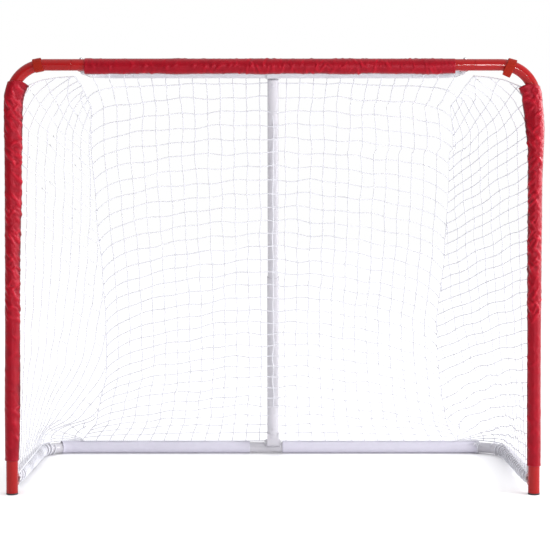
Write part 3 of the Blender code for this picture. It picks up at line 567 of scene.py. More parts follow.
def hinge(side, way, label, pivot, x, half, depth):
    """A hinge's lug with a bolt whose domed head is outside, and its hex nut inside with the bolt's end standing out
    of it. The lug keeps the given share of its depth below the bolt."""
    outward = X_AXIS * way
    shaft = 2 * half + NUT_HIGH + BOLT_PAST_NUT
    start = pivot + outward * (x + half - shaft)
    profile = [(0.0, BOLT_R - 0.0008), (0.0008, BOLT_R), (shaft, BOLT_R), (shaft, BOLT_HEAD_R - 0.0004),
               (shaft + 0.0003, BOLT_HEAD_R)]
    piece(f"{label}_bolt_{side}", [turned(start, outward, profile + dome(shaft + 0.0008, BOLT_HEAD_R, 0.0027), 36)],
          "frame", "zinc", [f"{label}_hinge_{side}_bolt"], sharp=50)
    piece(f"{label}_nut_{side}", [nut(pivot + outward * (x - half - NUT_HIGH), outward)],
          "frame", "zinc", [f"{label}_hinge_{side}_nut"], sharp=25)
    softened(f"{label}_hinge_lug_{side}", f"{label}_lug_{side}", "frame", "red_tube", 0.0004, pivot[2], depth)


# Base, shelf and prop

FLAT_END = 0.040
BLEND_END = 0.085


def roundness(s):
    """How round an arm is at distance s from its end: 0 where it is flattened, 1 where it is round."""
    return smooth(np.clip((s - FLAT_END) / (BLEND_END - FLAT_END), 0, 1))


def arm(way, x, pivot, rear, radius, bend, seam_x, end_x, flats, lead):
    """An arm: flattened at its hinge, round after a smooth blend, bent at its corner and narrowed past its seam."""
    ahead = unit(rear - pivot)
    path = corner_path(pivot + X_AXIS * way * x - ahead * lead, rear + X_AXIS * way * x, rear + X_AXIS * way * end_x,
                       bend)
    length = length_of(path)
    seam = length - (seam_x - end_x)
    corner = length - (x - end_x) - bend
    tip = [0.0, 0.0004, 0.0012, 0.0024]
    s = join([tip, between(0.004, BLEND_END, 0.003), between(BLEND_END, corner, 0.02)[1:],
              between(corner, seam - 0.003, 0.004)[1:], [seam - 0.001, seam + 0.0002],
              between(seam + 0.001, length - 0.001, 0.01), [length]])
    share = roundness(s)
    narrow = radius - 0.0018
    r = np.where(s > seam, narrow, radius)
    r = np.where(s >= length - 1e-9, narrow - 0.0008, r)
    pinch = np.interp(s, tip + [0.004], [0.45, 0.72, 0.88, 0.96, 1.0])
    halves = tuple((flat + (r - flat) * share) * pinch for flat in flats)
    oval, boxy = (rings(path, s, halves, np.cross(X_AXIS, ahead), 40, square) for square in (2.0, 3.2))
    flatness = (1 - share)[:, None, None]
    return part(oval * (1 - flatness) + boxy * flatness)


for side, way in SIDES:
    hinge(side, way, "base", BASE_PIVOT, POST_X, half=0.0103, depth=1.0)
    hinge(side, way, "shelf", SHELF_PIVOT, SHELF_X, half=0.0093, depth=0.66)
for side, way in SIDES:
    piece(f"base_side_{side}", [arm(way, POST_X, BASE_PIVOT, REAR, TUBE_R, CORNER_R, BASE_SEAM_X, BASE_STUB_X,
                                    BASE_FLAT, BASE_LEAD)],
          "base", "white_tube", [f"base_arm_{side}"], sharp=50)
    piece(f"shelf_side_{side}", [arm(way, SHELF_X, SHELF_PIVOT, RAIL, SHELF_R, SHELF_BEND, RAIL_SEAM_X, RAIL_STUB_X,
                                     SHELF_FLAT, SHELF_LEAD)],
          "shelf", "white_tube", [f"shelf_arm_{side}"], sharp=50)
    softened(f"pin_ear_{side}", f"prop_ear_{side}", "base", "white_tube", 0.0004)

piece("rear_tube", [pipe(level(BASE_SEAM_X, REAR_Y, REAR_Z), TUBE_R, BORE_R, Y_AXIS, 0.02, around=40)],
      "base", "white_tube", ["rear_bar"], sharp=35)

# The rail is a pipe with two rolled beads, 1.5 mm x exp(-(distance / 0.9 mm)^2), that keep the collar in the middle
BEADS = (RAIL_SEAM_X - 0.0199, RAIL_SEAM_X + 0.0199)
rail_s = np.unique(join([between(0, 2 * RAIL_SEAM_X, 0.02)] + [at + between(-0.002, 0.002, 0.0004) for at in BEADS]))
rail_r = SHELF_R + 0.0015 * sum(np.exp(-((rail_s - at) / 0.0009) ** 2) for at in BEADS)
rail_bore = np.full(len(rail_s), SHELF_R - TUBE_WALL)
piece("shelf_tube", [part(rings(level(RAIL_SEAM_X, RAIL_Y, RAIL[2]), join([rail_s, rail_s[::-1]]),
                                join([rail_r, rail_bore]), Y_AXIS, 40), loop=True)],
      "shelf", "white_tube", ["shelf_rail"], sharp=50)


def prop_line(low, high):
    """A line on the prop from one distance below the rail's axis to another."""
    return np.array([RAIL + PROP_DOWN * low, RAIL + PROP_DOWN * high])


PROP_UPPER = (0.0158, 0.63975)
PROP_LOWER_END = PROP_LENGTH - 0.032
PROP_LOWER = (PROP_LOWER_END - 0.478, PROP_LOWER_END)
RIVET_IN = 0.016
piece("rail_collar", [pipe(level(0.018, RAIL_Y, RAIL[2]), 0.0155, 0.0128, Y_AXIS, 0.004, 0.0006, 40),
                      bar(prop_line(0.0142, 0.0495), 0.0132, X_AXIS)],
      "prop_upper", "white_tube", ["prop_collar"], sharp=50)
piece("prop_inner_tube", [pipe(prop_line(*PROP_UPPER), TUBE_R, BORE_R, X_AXIS, 0.02, around=40)],
      "prop_upper", "white_tube", ["prop_upper_tube"], sharp=35)
piece("prop_outer_tube", [pipe(prop_line(*PROP_LOWER), PROP_LOWER_R, PROP_LOWER_R - TUBE_WALL, X_AXIS, 0.02, 0.0006,
                               40)],
      "prop_lower", "white_tube", ["prop_lower_tube"], sharp=35)
softened("prop_hook_foot", "prop_foot", "prop_lower", "white_tube", 0.0008)


def rivet(name, below, half, body, node):
    """A domed rivet right through a tube, with a head on both sides, painted over with the tube."""
    head = 0.0016
    back = np.cross(X_AXIS, PROP_DOWN)
    back = back if back[1] > 0 else -back
    heads = dome(0.0, 0.005, head)
    profile = ([(head - s, r) for s, r in heads[::-1]] + [(head + 0.0001, 0.0025), (2 * half + head - 0.0001, 0.0025)]
               + [(2 * half + head + s, r) for s, r in heads])
    piece(name, [turned(RAIL + PROP_DOWN * below - back * (half + head), back, profile)], body,
          "white_tube", [node], sharp=50)


rivet("prop_head_rivet", PROP_UPPER[0] + RIVET_IN, TUBE_R, "prop_upper", "prop_top_rivet")
rivet("prop_end_rivet", PROP_LOWER_END - RIVET_IN, PROP_LOWER_R, "prop_lower", "prop_foot_rivet")

PIN_PROFILE = [(0.0, 0.0062), (0.0004, 0.0071), (0.001, 0.0075), (0.003, 0.0075), (0.0036, 0.0072), (0.004, 0.0064),
               (0.0041, 0.004), (0.0486, 0.004), (0.0496, 0.003)]
piece("pull_pin", [turned(PIN - X_AXIS * 0.0248, X_AXIS, PIN_PROFILE, 36)], "pin", "zinc", ["release_pin"],
      sharp=40)


# Fabric sleeves

FITTED = 0.0168
CLOTH = 0.0009
CLOTH_R = 0.018
SLEEVE_STEP = 0.0024
SLEEVE_AROUND = 96
# Height of folds, up or down, that gives the full painted highlight on crests or the full painted shade in hollows.
FOLD_SHADE_DEPTH = 0.0036


def creases(along, round_it, count, size, slant, height, seed, span, lean=0.5):
    """Folds in cloth: each is a soft crest with a shallow trough beside it, exp(-(across / width)^2) across and
    exp(-(along / length)^2) along a slanted line on the unrolled cloth, which closes on itself round the girth. lean is
    the share of folds that slant the positive way."""
    draw = np.random.default_rng(seed)
    girth = 2 * math.pi * CLOTH_R
    total = np.zeros(np.broadcast(along, round_it).shape)
    for _ in range(count):
        s0 = draw.uniform(*span)
        c0 = draw.uniform(0, girth)
        angle = (1 if draw.uniform() < lean else -1) * draw.uniform(*slant)
        width = draw.uniform(*size)
        reach = width * draw.uniform(2.0, 3.6)
        tall = draw.uniform(*height)
        ds = along - s0
        dc = (round_it - c0 + girth / 2) % girth - girth / 2
        p = ds * math.sin(angle) + dc * math.cos(angle)
        q = ds * math.cos(angle) - dc * math.sin(angle)
        total += tall * np.exp(-(p / reach) ** 2) * (np.exp(-(q / width) ** 2) - 0.4 * np.exp(-(q / width / 1.8) ** 2))
    return total


def lobe(turn, centre, width):
    """A smooth bump round a ring: exp(-(angle from the centre / width)^2)."""
    away = (turn - centre + math.pi) % (2 * math.pi) - math.pi
    return np.exp(-(away / width) ** 2)


def sleeve(name, path, low, high, shape, creased, body, slot, node, slope=None, edge_shade_angles=()):
    """A fabric sleeve: a loose skin round a tube from one distance to another, its radius the sum of a fitted tube, the
    given fullness and its folds, with an inner wall one cloth's thickness inside it. slope, an angle and a reach, makes
    the top end higher on that side, by reach x cos(angle away), fading in over the last 60 mm. Its colour holds painted
    shade in the folds' hollows, a painted highlight on their crests and painted shade over its inner wall. The last
    argument gives the angles round it of ragged dark lines, painted shade along the sides that turn away from the
    front, in the folds' dark tone."""
    s = between(low, high, SLEEVE_STEP)
    turn = turns(SLEEVE_AROUND)
    shear = np.zeros((len(s), SLEEVE_AROUND))
    if slope:
        fade = np.clip(1 - (high - s) / 0.06, 0, 1) ** 1.5
        shear = fade[:, None] * slope[1] * np.cos(turn - slope[0])
    hem = np.minimum(s - low, high - s)[:, None]
    folds = creased(s[:, None], turn[None] * CLOTH_R) * (0.35 + 0.65 * np.clip(hem / 0.012, 0, 1))
    rolled = 0.0007 * np.exp(-((hem - 0.003) / 0.002) ** 2)
    radius = np.maximum(shape(s[:, None], turn[None]) + folds + rolled, TUBE_R + 0.0003 + CLOTH)
    s = s[:, None] + shear
    grid = join([rings(path, at, r, Y_AXIS, SLEEVE_AROUND) for at, r in (
        (s, radius),
        (s[[-1, -1]] + 0.0002, np.stack([radius[-1] - CLOTH * 0.3, radius[-1] - CLOTH * 0.7])),
        (s[::-1], radius[::-1] - CLOTH),
        (s[[0, 0]] - 0.0002, np.stack([radius[0] - CLOTH * 0.7, radius[0] - CLOTH * 0.3])))])
    # Painted shade and highlight: the tone is 0.5 plus the folds' height over their full depth, darker in hollows and
    # paler on crests.
    height = 0.5 + folds / FOLD_SHADE_DEPTH
    # Painted shade: ragged dark lines along the sides that turn away from the front.
    for line in edge_shade_angles:
        width = (0.0046 + 0.0016 * np.sin(s * 90.0) * np.sin(s * 37.0)) / radius
        height = height - 0.6 * lobe(turn[None], line, width)
    height = np.clip(height, 0, 1)
    # The inner wall gets under a third of that tone: painted shade inside the sleeve.
    fold_shade = join([height, height[[-1, -1]], height[::-1] * 0.3, height[[0, 0]]])
    return piece(name, [part(grid, loop=True, fold_shade=fold_shade)], body, slot, [node])


# Height, and how far the sleeve stands from the post's axis inwards and outwards
POST_SLEEVE = {
    "left": ((0.093, 0.0182, 0.0178), (0.124, 0.0198, 0.0180), (0.239, 0.0218, 0.0186), (0.355, 0.0218, 0.0172),
             (0.509, 0.0222, 0.0164), (0.625, 0.0226, 0.0160), (0.702, 0.0248, 0.0160), (0.780, 0.0280, 0.0160),
             (0.895, 0.0290, 0.0168), (0.972, 0.0296, 0.0178), (1.010, 0.0300, 0.0174), (1.018, 0.0330, 0.0174),
             (1.035, 0.0345, 0.0172), (1.060, 0.0345, 0.0170)),
    "right": ((0.072, 0.0178, 0.0174), (0.124, 0.0182, 0.0178), (0.280, 0.0186, 0.0170), (0.432, 0.0184, 0.0170),
              (0.625, 0.0184, 0.0176), (0.741, 0.0176, 0.0184), (0.818, 0.0176, 0.0192), (0.895, 0.0184, 0.0226),
              (0.934, 0.0236, 0.0240), (0.972, 0.0275, 0.0222), (1.011, 0.0330, 0.0182), (1.050, 0.0350, 0.0170)),
}
POST_SLEEVE_SPAN = {"left": (0.088, 0.0498), "right": (0.074, 0.0392)}
MOUTH_SLOPE = 0.0102
# Angles round a sleeve of its painted edge shade: the two sides that turn away from the front.
EDGE_SHADE_ANGLES = (math.pi / 2, -math.pi / 2)


def post_sleeve(side, way, lean, seed):
    """A post's sleeve, from near the floor up into the corner bend, with a stitched flap that stands out on its inner
    side and widens to an open mouth at the top. Both its sides, seen from the front, carry lines of painted shade."""
    low_z, into_bend = POST_SLEEVE_SPAN[side]
    low = low_z - POST_LOW
    high = CORNER_Z - POST_LOW + into_bend
    heights, to_inside, to_outside = np.array(POST_SLEEVE[side]).T
    inward = way * math.pi / 2

    def shape(s, turn):
        inner = np.interp(s, heights - POST_LOW, to_inside) - FITTED
        outer = np.interp(s, heights - POST_LOW, to_outside) - FITTED
        swing = 0.18 * np.sin(s * 17.0 + seed * 2.0)
        flap = inner * lobe(turn, inward + swing, 0.55 + 0.15 * np.sin(s * 23.0 + seed))
        stitched = 0.0012 * lobe(turn, inward - way * 0.62 + swing, 0.11)
        return FITTED + flap + outer * lobe(turn, inward + math.pi, 1.0) - stitched

    def creased(s, c):
        upper = creases(s, c, 400, (0.0026, 0.0046), (0.6, 1.1), (0.0012, 0.0028), seed, (0.45, high), lean)
        lower = creases(s, c, 160, (0.0030, 0.0060), (0.5, 1.2), (0.0004, 0.0013), seed + 1, (low, 0.55), lean)
        return (upper + lower) * (1 - 0.6 * lobe(c / CLOTH_R, inward + math.pi, 0.8))

    made = sleeve(f"post_sleeve_cloth_{side}", post_path(way), low, high, shape, creased, "frame",
                  "red_sleeve", f"post_sleeve_{side}", (inward, MOUTH_SLOPE), EDGE_SHADE_ANGLES)


post_sleeve("left", -1.0, 0.1, 11)
post_sleeve("right", 1.0, 0.55, 29)

CROSSBAR_SLEEVE = (-0.482, 0.4655)


def crossbar_shape(s, turn):
    """Fitted on top and hanging a little loose below, in slow waves along the bar."""
    wave = 0.0004 * np.sin(s * 31.0) + 0.0003 * np.sin(s * 57.0 + 1.0)
    return FITTED - 0.0007 + wave + (0.0074 + wave) * lobe(turn, -math.pi / 2, 1.0)


def crossbar_creases(s, c):
    """Calm folds on the left and more crumpled ones from the middle to the right."""
    calm = creases(s, c, 130, (0.0026, 0.0055), (0.1, 0.9), (0.0006, 0.0016), 5, (0.0, 0.42))
    crumpled = creases(s, c, 260, (0.0022, 0.0042), (0.1, 0.8), (0.0007, 0.0019), 6, (0.38, 0.95))
    return calm + crumpled


crossbar_cloth = sleeve("crossbar_sleeve_cloth", spots(np.array(CROSSBAR_SLEEVE), FRONT_Y, CROSSBAR_Z), 0.0003,
                        CROSSBAR_SLEEVE[1] - CROSSBAR_SLEEVE[0] - 0.0003, crossbar_shape, crossbar_creases, "frame",
                        "red_sleeve", "crossbar_sleeve", edge_shade_angles=EDGE_SHADE_ANGLES)

BASE_AHEAD = unit(REAR - BASE_PIVOT)


def rear_sleeve(side, way, low, out, seed):
    """A sleeve on the rear bar, from a distance off its middle to one round its corner, slack on top and pressed thin
    where it rests on the floor."""
    high = CORNER_X + CORNER_R * math.asin((out - CORNER_X) / CORNER_R)
    corner = REAR + X_AXIS * way * POST_X

    def shape(s, turn):
        wave = 0.0004 * np.sin(s * 29.0 + seed) + 0.0003 * np.sin(s * 53.0)
        return FITTED - 0.0003 + (0.0023 + wave) * lobe(turn, math.pi / 2 * way, 1.1)

    def creased(s, c):
        folds = creases(s, c, 90, (0.003, 0.008), (0.3, 1.1), (0.0002, 0.0007), seed, (low, high))
        return folds * (1 - lobe(c / CLOTH_R, -math.pi / 2 * way, 0.9))

    made = sleeve(f"rear_sleeve_cloth_{side}", corner_path(REAR, corner, corner - BASE_AHEAD * 0.2, CORNER_R), low,
                  high, shape, creased, "base", "white_sleeve", f"base_sleeve_{side}")


rear_sleeve("left", -1.0, 0.0680, 0.620, 41)
rear_sleeve("right", 1.0, 0.0275, 0.604, 57)


# Corner straps

def strap(side, way, turn_at, skewed, tail):
    """A hook-and-loop strap: a flat band wound once round the corner bend over its own end, a spiral as seen from
    its side, which ends on the front in a straight tail towards the goal's inside."""
    at, along = resample(post_path(way), np.array([CORNER_Z - POST_LOW + CORNER_R * math.radians(turn_at)]))
    at, along = at[0], along[0]
    across = np.cross(along, Y_AXIS)
    inner = across if across[0] * way < 0 else -across
    turn = np.linspace(math.radians(410), 0.0, 90)
    radius = TUBE_R + 0.0013 + 0.0017 * np.clip((math.radians(120) - turn) / 0.8, 0, 1)
    loop = at - (np.cos(turn) * radius)[:, None] * Y_AXIS - (np.sin(turn) * radius)[:, None] * inner
    path = join([loop, loop[-1] + unit(loop[-1] - loop[-2]) * np.linspace(0.001, tail, 12)[:, None]])
    path = path - ((path - at) @ inner)[:, None] * math.tan(math.radians(skewed)) * X_AXIS * way
    s, _ = rounded(length_of(path), 0.001, 0.0008, 0.0015)
    near = np.clip(np.minimum(s, length_of(path) - s) / 0.004, 0, 1)
    wide = 0.011 * (0.86 + 0.14 * np.sqrt(near))
    grid = rings(path, s, (wide, 0.0008), along, 24, square=5.0)
    # Its tone is held at 0.55, the middle colour, with no painted shade or highlight.
    piece(f"corner_strap_webbing_{side}", [part(grid, fold_shade=np.full(grid.shape[:2], 0.55))], "frame",
          "red_strap", [f"corner_strap_{side}"], sharp=60)


strap("left", -1.0, 78.5, 3.0, 0.015)
strap("right", 1.0, 75.0, 11.0, 0.028)


# Net

CELL = 0.038
PER_CELL = 6
CORD_R = 0.0015
CROSSING = 1.25
BORDER_R = 0.0018
NET_LOW = 0.036
NET_HIGH = 1.1085
SEAM_HIGH = 1.076
NET_BACK_Y = 0.282
NET_TOP_Y = -0.0035
BACK_FOOT_X = (-0.56, 0.54)
TOP_HALF = 0.47
TOP_Z = 1.1118
TOP_COLUMNS = 24
TOP_ROWS = 7
# Height, distance from the middle and depth of the seam between the back net and a side net
SEAM = {
    "right": ((0.036, 0.540, 0.282), (0.046, 0.534, 0.279), (0.096, 0.506, 0.236), (0.179, 0.486, 0.186),
              (0.313, 0.4645, 0.120), (0.410, 0.458, 0.085), (0.5875, 0.4753, 0.037), (0.813, 0.4855, 0.0005),
              (0.878, 0.485, -0.004), (0.890, 0.496, -0.004), (0.945, 0.493, -0.006), (1.008, 0.486, -0.008),
              (1.022, 0.4985, -0.040), (1.054, 0.507, -0.170), (1.076, 0.5195, -0.250)),
    "left": ((0.036, 0.560, 0.282), (0.046, 0.5545, 0.279), (0.096, 0.5145, 0.236), (0.179, 0.494, 0.186),
             (0.235, 0.477, 0.157), (0.325, 0.470, 0.115), (0.430, 0.469, 0.079), (0.568, 0.473, 0.040),
             (0.672, 0.482, 0.018), (0.770, 0.488, 0.004), (0.893, 0.4987, -0.004), (1.006, 0.498, -0.008),
             (1.030, 0.505, -0.050), (1.058, 0.507, -0.150), (1.076, 0.5150, -0.230)),
}


def wander(points, size, seed):
    """Small uneven pulls in the mesh: a sum of slow waves in each direction."""
    draw = np.random.default_rng(seed)
    shift = np.zeros(points.shape)
    for _ in range(10):
        way = draw.normal(size=3) * (2 * math.pi / 0.16)
        push = draw.normal(size=3) * size / 3.2
        shift += np.sin(points @ way + draw.uniform(0, 6.28))[..., None] * push
    return shift


def seam_at(side, z):
    """Distance from the middle and depth of a seam at the heights z."""
    heights, x, y = np.array(SEAM[side]).T
    return np.interp(z, heights, x), np.interp(z, heights, y)


def back_levels():
    """Heights of the back net's rows: a cell apart at the top, closer where the slack net bunches near the bar."""
    drop = np.linspace(0, NET_HIGH - NET_LOW, 400)
    gap = CELL * (1 - 0.28 * (drop / 1.06) ** 2.5)
    count = join([[0.0], np.cumsum(np.diff(drop) / gap[:-1])])
    return NET_HIGH - np.interp(np.linspace(0, count[-1], int(count[-1]) + 1), count, drop)


BACK_ROWS = back_levels()
BACK_HALF = 14
SAG_H = (0.036, 0.08, 0.15, 0.35, 0.60, 0.85, 1.00, 1.06, 1.1085)
SAG_WIDE = (0.0, 0.018, 0.048, 0.077, 0.077, 0.050, 0.032, 0.020, 0.0)
SAG_EDGE = (0.0, 0.008, 0.018, 0.030, 0.032, 0.030, 0.030, 0.030, 0.028)


def back_net(i, h):
    """The back net at column i from the middle and row level h: rows sag towards the seams, as u^2 and u^16. Its
    middle hangs almost upright below the rail and swings back to the bar, as 0.254 (1.09 - z)^2.6."""
    u = i / BACK_HALF
    z = h - np.interp(h, SAG_H, SAG_WIDE) * u ** 2 - np.interp(h, SAG_H, SAG_EDGE) * np.abs(u) ** 16
    x, edge_y = (np.where(u > 0, *pair) for pair in zip(seam_at("right", z), seam_at("left", z)))
    share = np.abs(u) ** 8
    y = (NET_TOP_Y + 0.254 * np.maximum(1.09 - z, 0) ** 2.6) * (1 - share) + edge_y * share
    points = spots(u * x, y, z)
    free = np.clip(np.minimum(h - NET_LOW, NET_HIGH - h) / 0.08, 0, 1) * (1 - np.abs(u) ** 6)
    return points + wander(points, 0.0035, 3) * free[..., None]


def strand(points, radius, around=5):
    """A cord along a line of points."""
    ahead = np.gradient(points, axis=0)
    ahead = ahead / np.maximum(np.linalg.norm(ahead, axis=1, keepdims=True), 1e-9)
    side = np.where(np.abs(ahead[:, 1:2]) < 0.7, Y_AXIS, X_AXIS)
    side = unit(side - (side * ahead).sum(-1, keepdims=True) * ahead)
    turn = turns(around)[:, None]
    ring = np.cos(turn) * side[:, None] + np.sin(turn) * np.cross(ahead, side)[:, None]
    return part(points[:, None] + np.reshape(radius, (-1, 1, 1)) * ring)


def braid(places):
    """Radii along a mesh cord: thicker at each crossing, where the knotless braid splits and joins."""
    return np.where(places % PER_CELL == 0, CORD_R * CROSSING, CORD_R)


def mesh_lines(surface, fine_u, fine_v, columns, rows, edged=False):
    """The cords of a net panel: a row at each of rows along fine_u and a column at each of columns along fine_v. Where
    it is edged, the first and last of both are border cords."""
    lines = [(v, rows, surface(fine_u, np.full(len(fine_u), v))) for v in rows]
    lines += [(u, columns, surface(np.full(len(fine_v), u), fine_v)) for u in columns]
    return [strand(line, BORDER_R if edged and at in (every[0], every[-1]) else braid(np.arange(len(line))))
            for at, every, line in lines]


def fine(low, high, cells):
    """Places along a line of mesh, several to each cell."""
    return np.linspace(low, high, cells * PER_CELL + 1)


SIDE_Z = (0.040, 0.120, 0.300, 0.550, 0.800, 1.080)
SIDE_CONTROL_X = (0.664, 0.650, 0.600, 0.583, 0.570, 0.585)
SIDE_CONTROL_Y = (0.262, 0.150, -0.030, -0.100, -0.136, -0.262)
SIDE_WEIGHT = (3.0, 1.8, 1.0, 0.8, 0.5, 0.5)
POST_EDGE = (0.657, -0.2735)
FOOT_CORNER = (0.668, 0.2847)


def tube_line(side):
    """Plan of a side net's foot: back along the side arm, round the rear corner and in to the seam."""
    seam_x = seam_at(side, NET_LOW)[0]
    path = corner_path((*POST_EDGE, 0.0), (*FOOT_CORNER, 0.0), (float(seam_x), FOOT_CORNER[1], 0.0), 0.085)
    s = np.linspace(0, length_of(path), 80)
    return s, resample(path, s)[0]


def side_plan(side, t, z):
    """Plan place at distance t from the post and height z, and the whole distance from post to seam at that height:
    a weighted curve with one control point, which becomes the side arm's own line near the floor."""
    q = np.linspace(0, 1, 41)
    a, b, c = (1 - q) ** 2, 2 * q * (1 - q) * np.interp(z, SIDE_Z, SIDE_WEIGHT)[..., None], q ** 2
    controls = (SIDE_CONTROL_X, SIDE_CONTROL_Y)
    plan = [(a * edge + b * np.interp(z, SIDE_Z, control)[..., None] + c * seam[..., None]) / (a + b + c)
            for edge, control, seam in zip(POST_EDGE, controls, seam_at(side, z))]
    steps = np.cumsum(np.hypot(*(np.diff(line, axis=-1) for line in plan)), axis=-1)
    reach = join([np.zeros(steps.shape[:-1] + (1,)), steps], axis=-1)
    k = np.clip((reach[..., 1:] < t[..., None]).sum(-1), 0, len(q) - 2)[..., None]
    (low, high), *ends = ([np.take_along_axis(line, n, -1) for n in (k, k + 1)] for line in (reach, *plan))
    share = np.clip((t[..., None] - low) / np.maximum(high - low, 1e-9), 0, 1)
    s, foot = tube_line(side)
    near = smooth(np.clip((0.13 - z) / 0.085, 0, 1))
    total = reach[..., -1] * (1 - near) + s[-1] * near
    on_tube = np.clip(t / total, 0, 1) * s[-1]
    x, y = ((start * (1 - share) + end * share)[..., 0] * (1 - near) + np.interp(on_tube, s, foot[:, n]) * near
            for n, (start, end) in enumerate(ends))
    return x, y, total


FALL_H = (0.05, 0.15, 0.30, 0.55, 0.75, 1.00, 1.25)
FALL_LINE = (0.025, 0.045, 0.10, 0.25, 0.36, 0.50, 0.55)
FALL_CURVE = (0.0, 0.20, 0.35, 0.15, 0.0, 0.0, 0.0)
SIDE_ROW = 0.0335
SIDE_LOW = 0.052
SIDE_HIGH = 1.040
FOOT_FALL = 0.0245
SIDE_ROWS = 36
SIDE_COLUMNS = 18
SIDE_BEFORE = 5
TOP_EDGE_X = (0.5195, 0.558, 0.594, 0.640, 0.662)
TOP_EDGE_Z = (1.076, 1.0725, 1.066, 1.0465, 1.040)


def side_net(side, way, i, j):
    """A side net at column i from the post and row j from the floor, and by how much it is inside the panel's edges.
    Rows fall away from the post, and near the crossbar the columns lean in towards it."""
    h = SIDE_LOW + j * SIDE_ROW
    t = i * CELL
    z = h - np.interp(h, FALL_H, FALL_LINE) * t - np.interp(h, FALL_H, FALL_CURVE) * np.maximum(t, 0) ** 2
    lean = 1.4 * np.maximum(z - 0.93, 0) ** 1.35
    x, y, total = side_plan(side, np.maximum(t + lean, 0), np.clip(z, NET_LOW, SEAM_HIGH))
    floor = SIDE_LOW - FOOT_FALL * np.maximum(t, 0)
    inside = np.min([total - t - lean, np.interp(x, TOP_EDGE_X, TOP_EDGE_Z) - z, z - floor, t + lean], axis=0)
    points = spots(way * x, y, z)
    return points + wander(points, 0.003, 7) * np.clip(inside / 0.05, 0, 1)[..., None], inside


def trimmed(surface, lines):
    """The stretch of each mesh line that lies inside its panel, its ends found by halving steps."""
    found = []
    for i, j in lines:
        kept = np.flatnonzero(surface(i, j)[1] > 0)
        if len(kept) < 2:
            continue
        first, last = kept[0], kept[-1]
        span_i, span_j = i[first:last + 1], j[first:last + 1]
        radii = braid(np.arange(first, last + 1))
        for k, other, where in ((first, first - 1, 0), (last, last + 1, None)):
            if not 0 <= other < len(i):
                continue
            good = np.array([i[k], j[k]])
            bad = np.array([i[other], j[other]])
            for _ in range(9):
                half = (good + bad) / 2
                good, bad = (half, bad) if surface(half[:1], half[1:])[1][0] > 0 else (good, half)
            where = len(span_i) if where is None else where
            span_i, span_j, radii = (np.insert(a, where, b) for a, b in zip((span_i, span_j, radii), (*good, CORD_R)))
        points = surface(span_i, span_j)[0]
        keep = join([[True], np.linalg.norm(np.diff(points, axis=0), axis=1) > 0.0006])
        if keep.sum() > 1:
            found.append(strand(points[keep], radii[keep]))
    return found


def side_strands(side, way):
    """Every row and column of a side net inside its edges, and its edge cords."""
    fine_i = fine(-SIDE_BEFORE, SIDE_COLUMNS, SIDE_BEFORE + SIDE_COLUMNS)
    fine_j = fine(0, SIDE_ROWS, SIDE_ROWS)
    lines = [(fine_i, np.full(len(fine_i), float(j))) for j in range(1, SIDE_ROWS)]
    lines += [(np.full(len(fine_j), float(i)), fine_j) for i in range(-SIDE_BEFORE, SIDE_COLUMNS)]
    made = trimmed(lambda i, j: side_net(side, way, i, j), lines)
    post_edge = spots(way * POST_EDGE[0], POST_EDGE[1], np.linspace(SIDE_LOW, SIDE_HIGH, 160))
    seam_x, seam_y = seam_at(side, SEAM_HIGH)
    x = np.linspace(POST_EDGE[0], seam_x, 30)
    top_y = np.interp(x, (TOP_EDGE_X[0], POST_EDGE[0]), (seam_y, POST_EDGE[1]))
    s, foot = tube_line(side)
    for line in (post_edge + wander(post_edge, 0.001, 9), spots(way * x, top_y, np.interp(x, TOP_EDGE_X, TOP_EDGE_Z)),
                 spots(way * foot[:, 0], foot[:, 1], SIDE_LOW - FOOT_FALL * s)):
        made.append(strand(line, BORDER_R, 7))
    return made


def seam_strand(side, way):
    """The cord that joins the back net and a side net."""
    z = np.linspace(NET_LOW + 0.001, SEAM_HIGH, 240)
    x, y = seam_at(side, z)
    line = spots(way * x, y, z)
    return strand(line + wander(line, 0.0012, 13), 0.0014 + 0.0004 * np.abs(np.sin(z * 60.0)), 7)


def top_net(u, v):
    """The top net at u across and v from the crossbar back to the rail: it sags by sin(pi v) (1 - u^8) between them."""
    deep = RAIL_Y + 0.008 - FRONT_Y - 0.0155
    sag = 0.012 * np.sin(math.pi * v) * (1 - u ** 8)
    return spots(u * TOP_HALF, FRONT_Y + 0.0155 + v * deep, TOP_Z - sag)


row_levels = np.interp(fine(0, len(BACK_ROWS) - 1, len(BACK_ROWS) - 1), np.arange(len(BACK_ROWS)), BACK_ROWS)
back = mesh_lines(back_net, fine(-BACK_HALF, BACK_HALF, 2 * BACK_HALF), row_levels,
                  np.arange(-BACK_HALF + 1.0, BACK_HALF), BACK_ROWS[1:-1])
for ends, y, z in ((BACK_FOOT_X, NET_BACK_Y, NET_LOW + 0.001), ((-TOP_HALF, TOP_HALF), NET_TOP_Y, NET_HIGH)):
    back.append(strand(spots(np.linspace(*ends, 200), y, z), BORDER_R, 7))
back += [seam_strand(side, way) for side, way in SIDES]
top = mesh_lines(top_net, fine(-1, 1, TOP_COLUMNS), fine(0, 1, TOP_ROWS),
                 -1 + 2 * np.arange(TOP_COLUMNS + 1) / TOP_COLUMNS, np.arange(TOP_ROWS + 1) / TOP_ROWS, edged=True)
nets = [piece("back_netting", back, "frame", "net_cord", ["net_back"])]
nets += [piece(f"side_netting_{side}", side_strands(side, way), "frame", "net_cord", [f"net_{side}"])
         for side, way in SIDES]
nets.append(piece("top_netting", top, "frame", "net_cord", ["net_top"]))
# Each net gets a mesh of its own.
for net in nets:
    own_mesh(net)


# Lacing at the net's foot, and the cord that ties a sleeve's end

def above_floor(line):
    """The line of a cord, lifted where it would go into the floor."""
    return spots(line[:, 0], line[:, 1], np.maximum(line[:, 2], CORD_R + 0.0001))


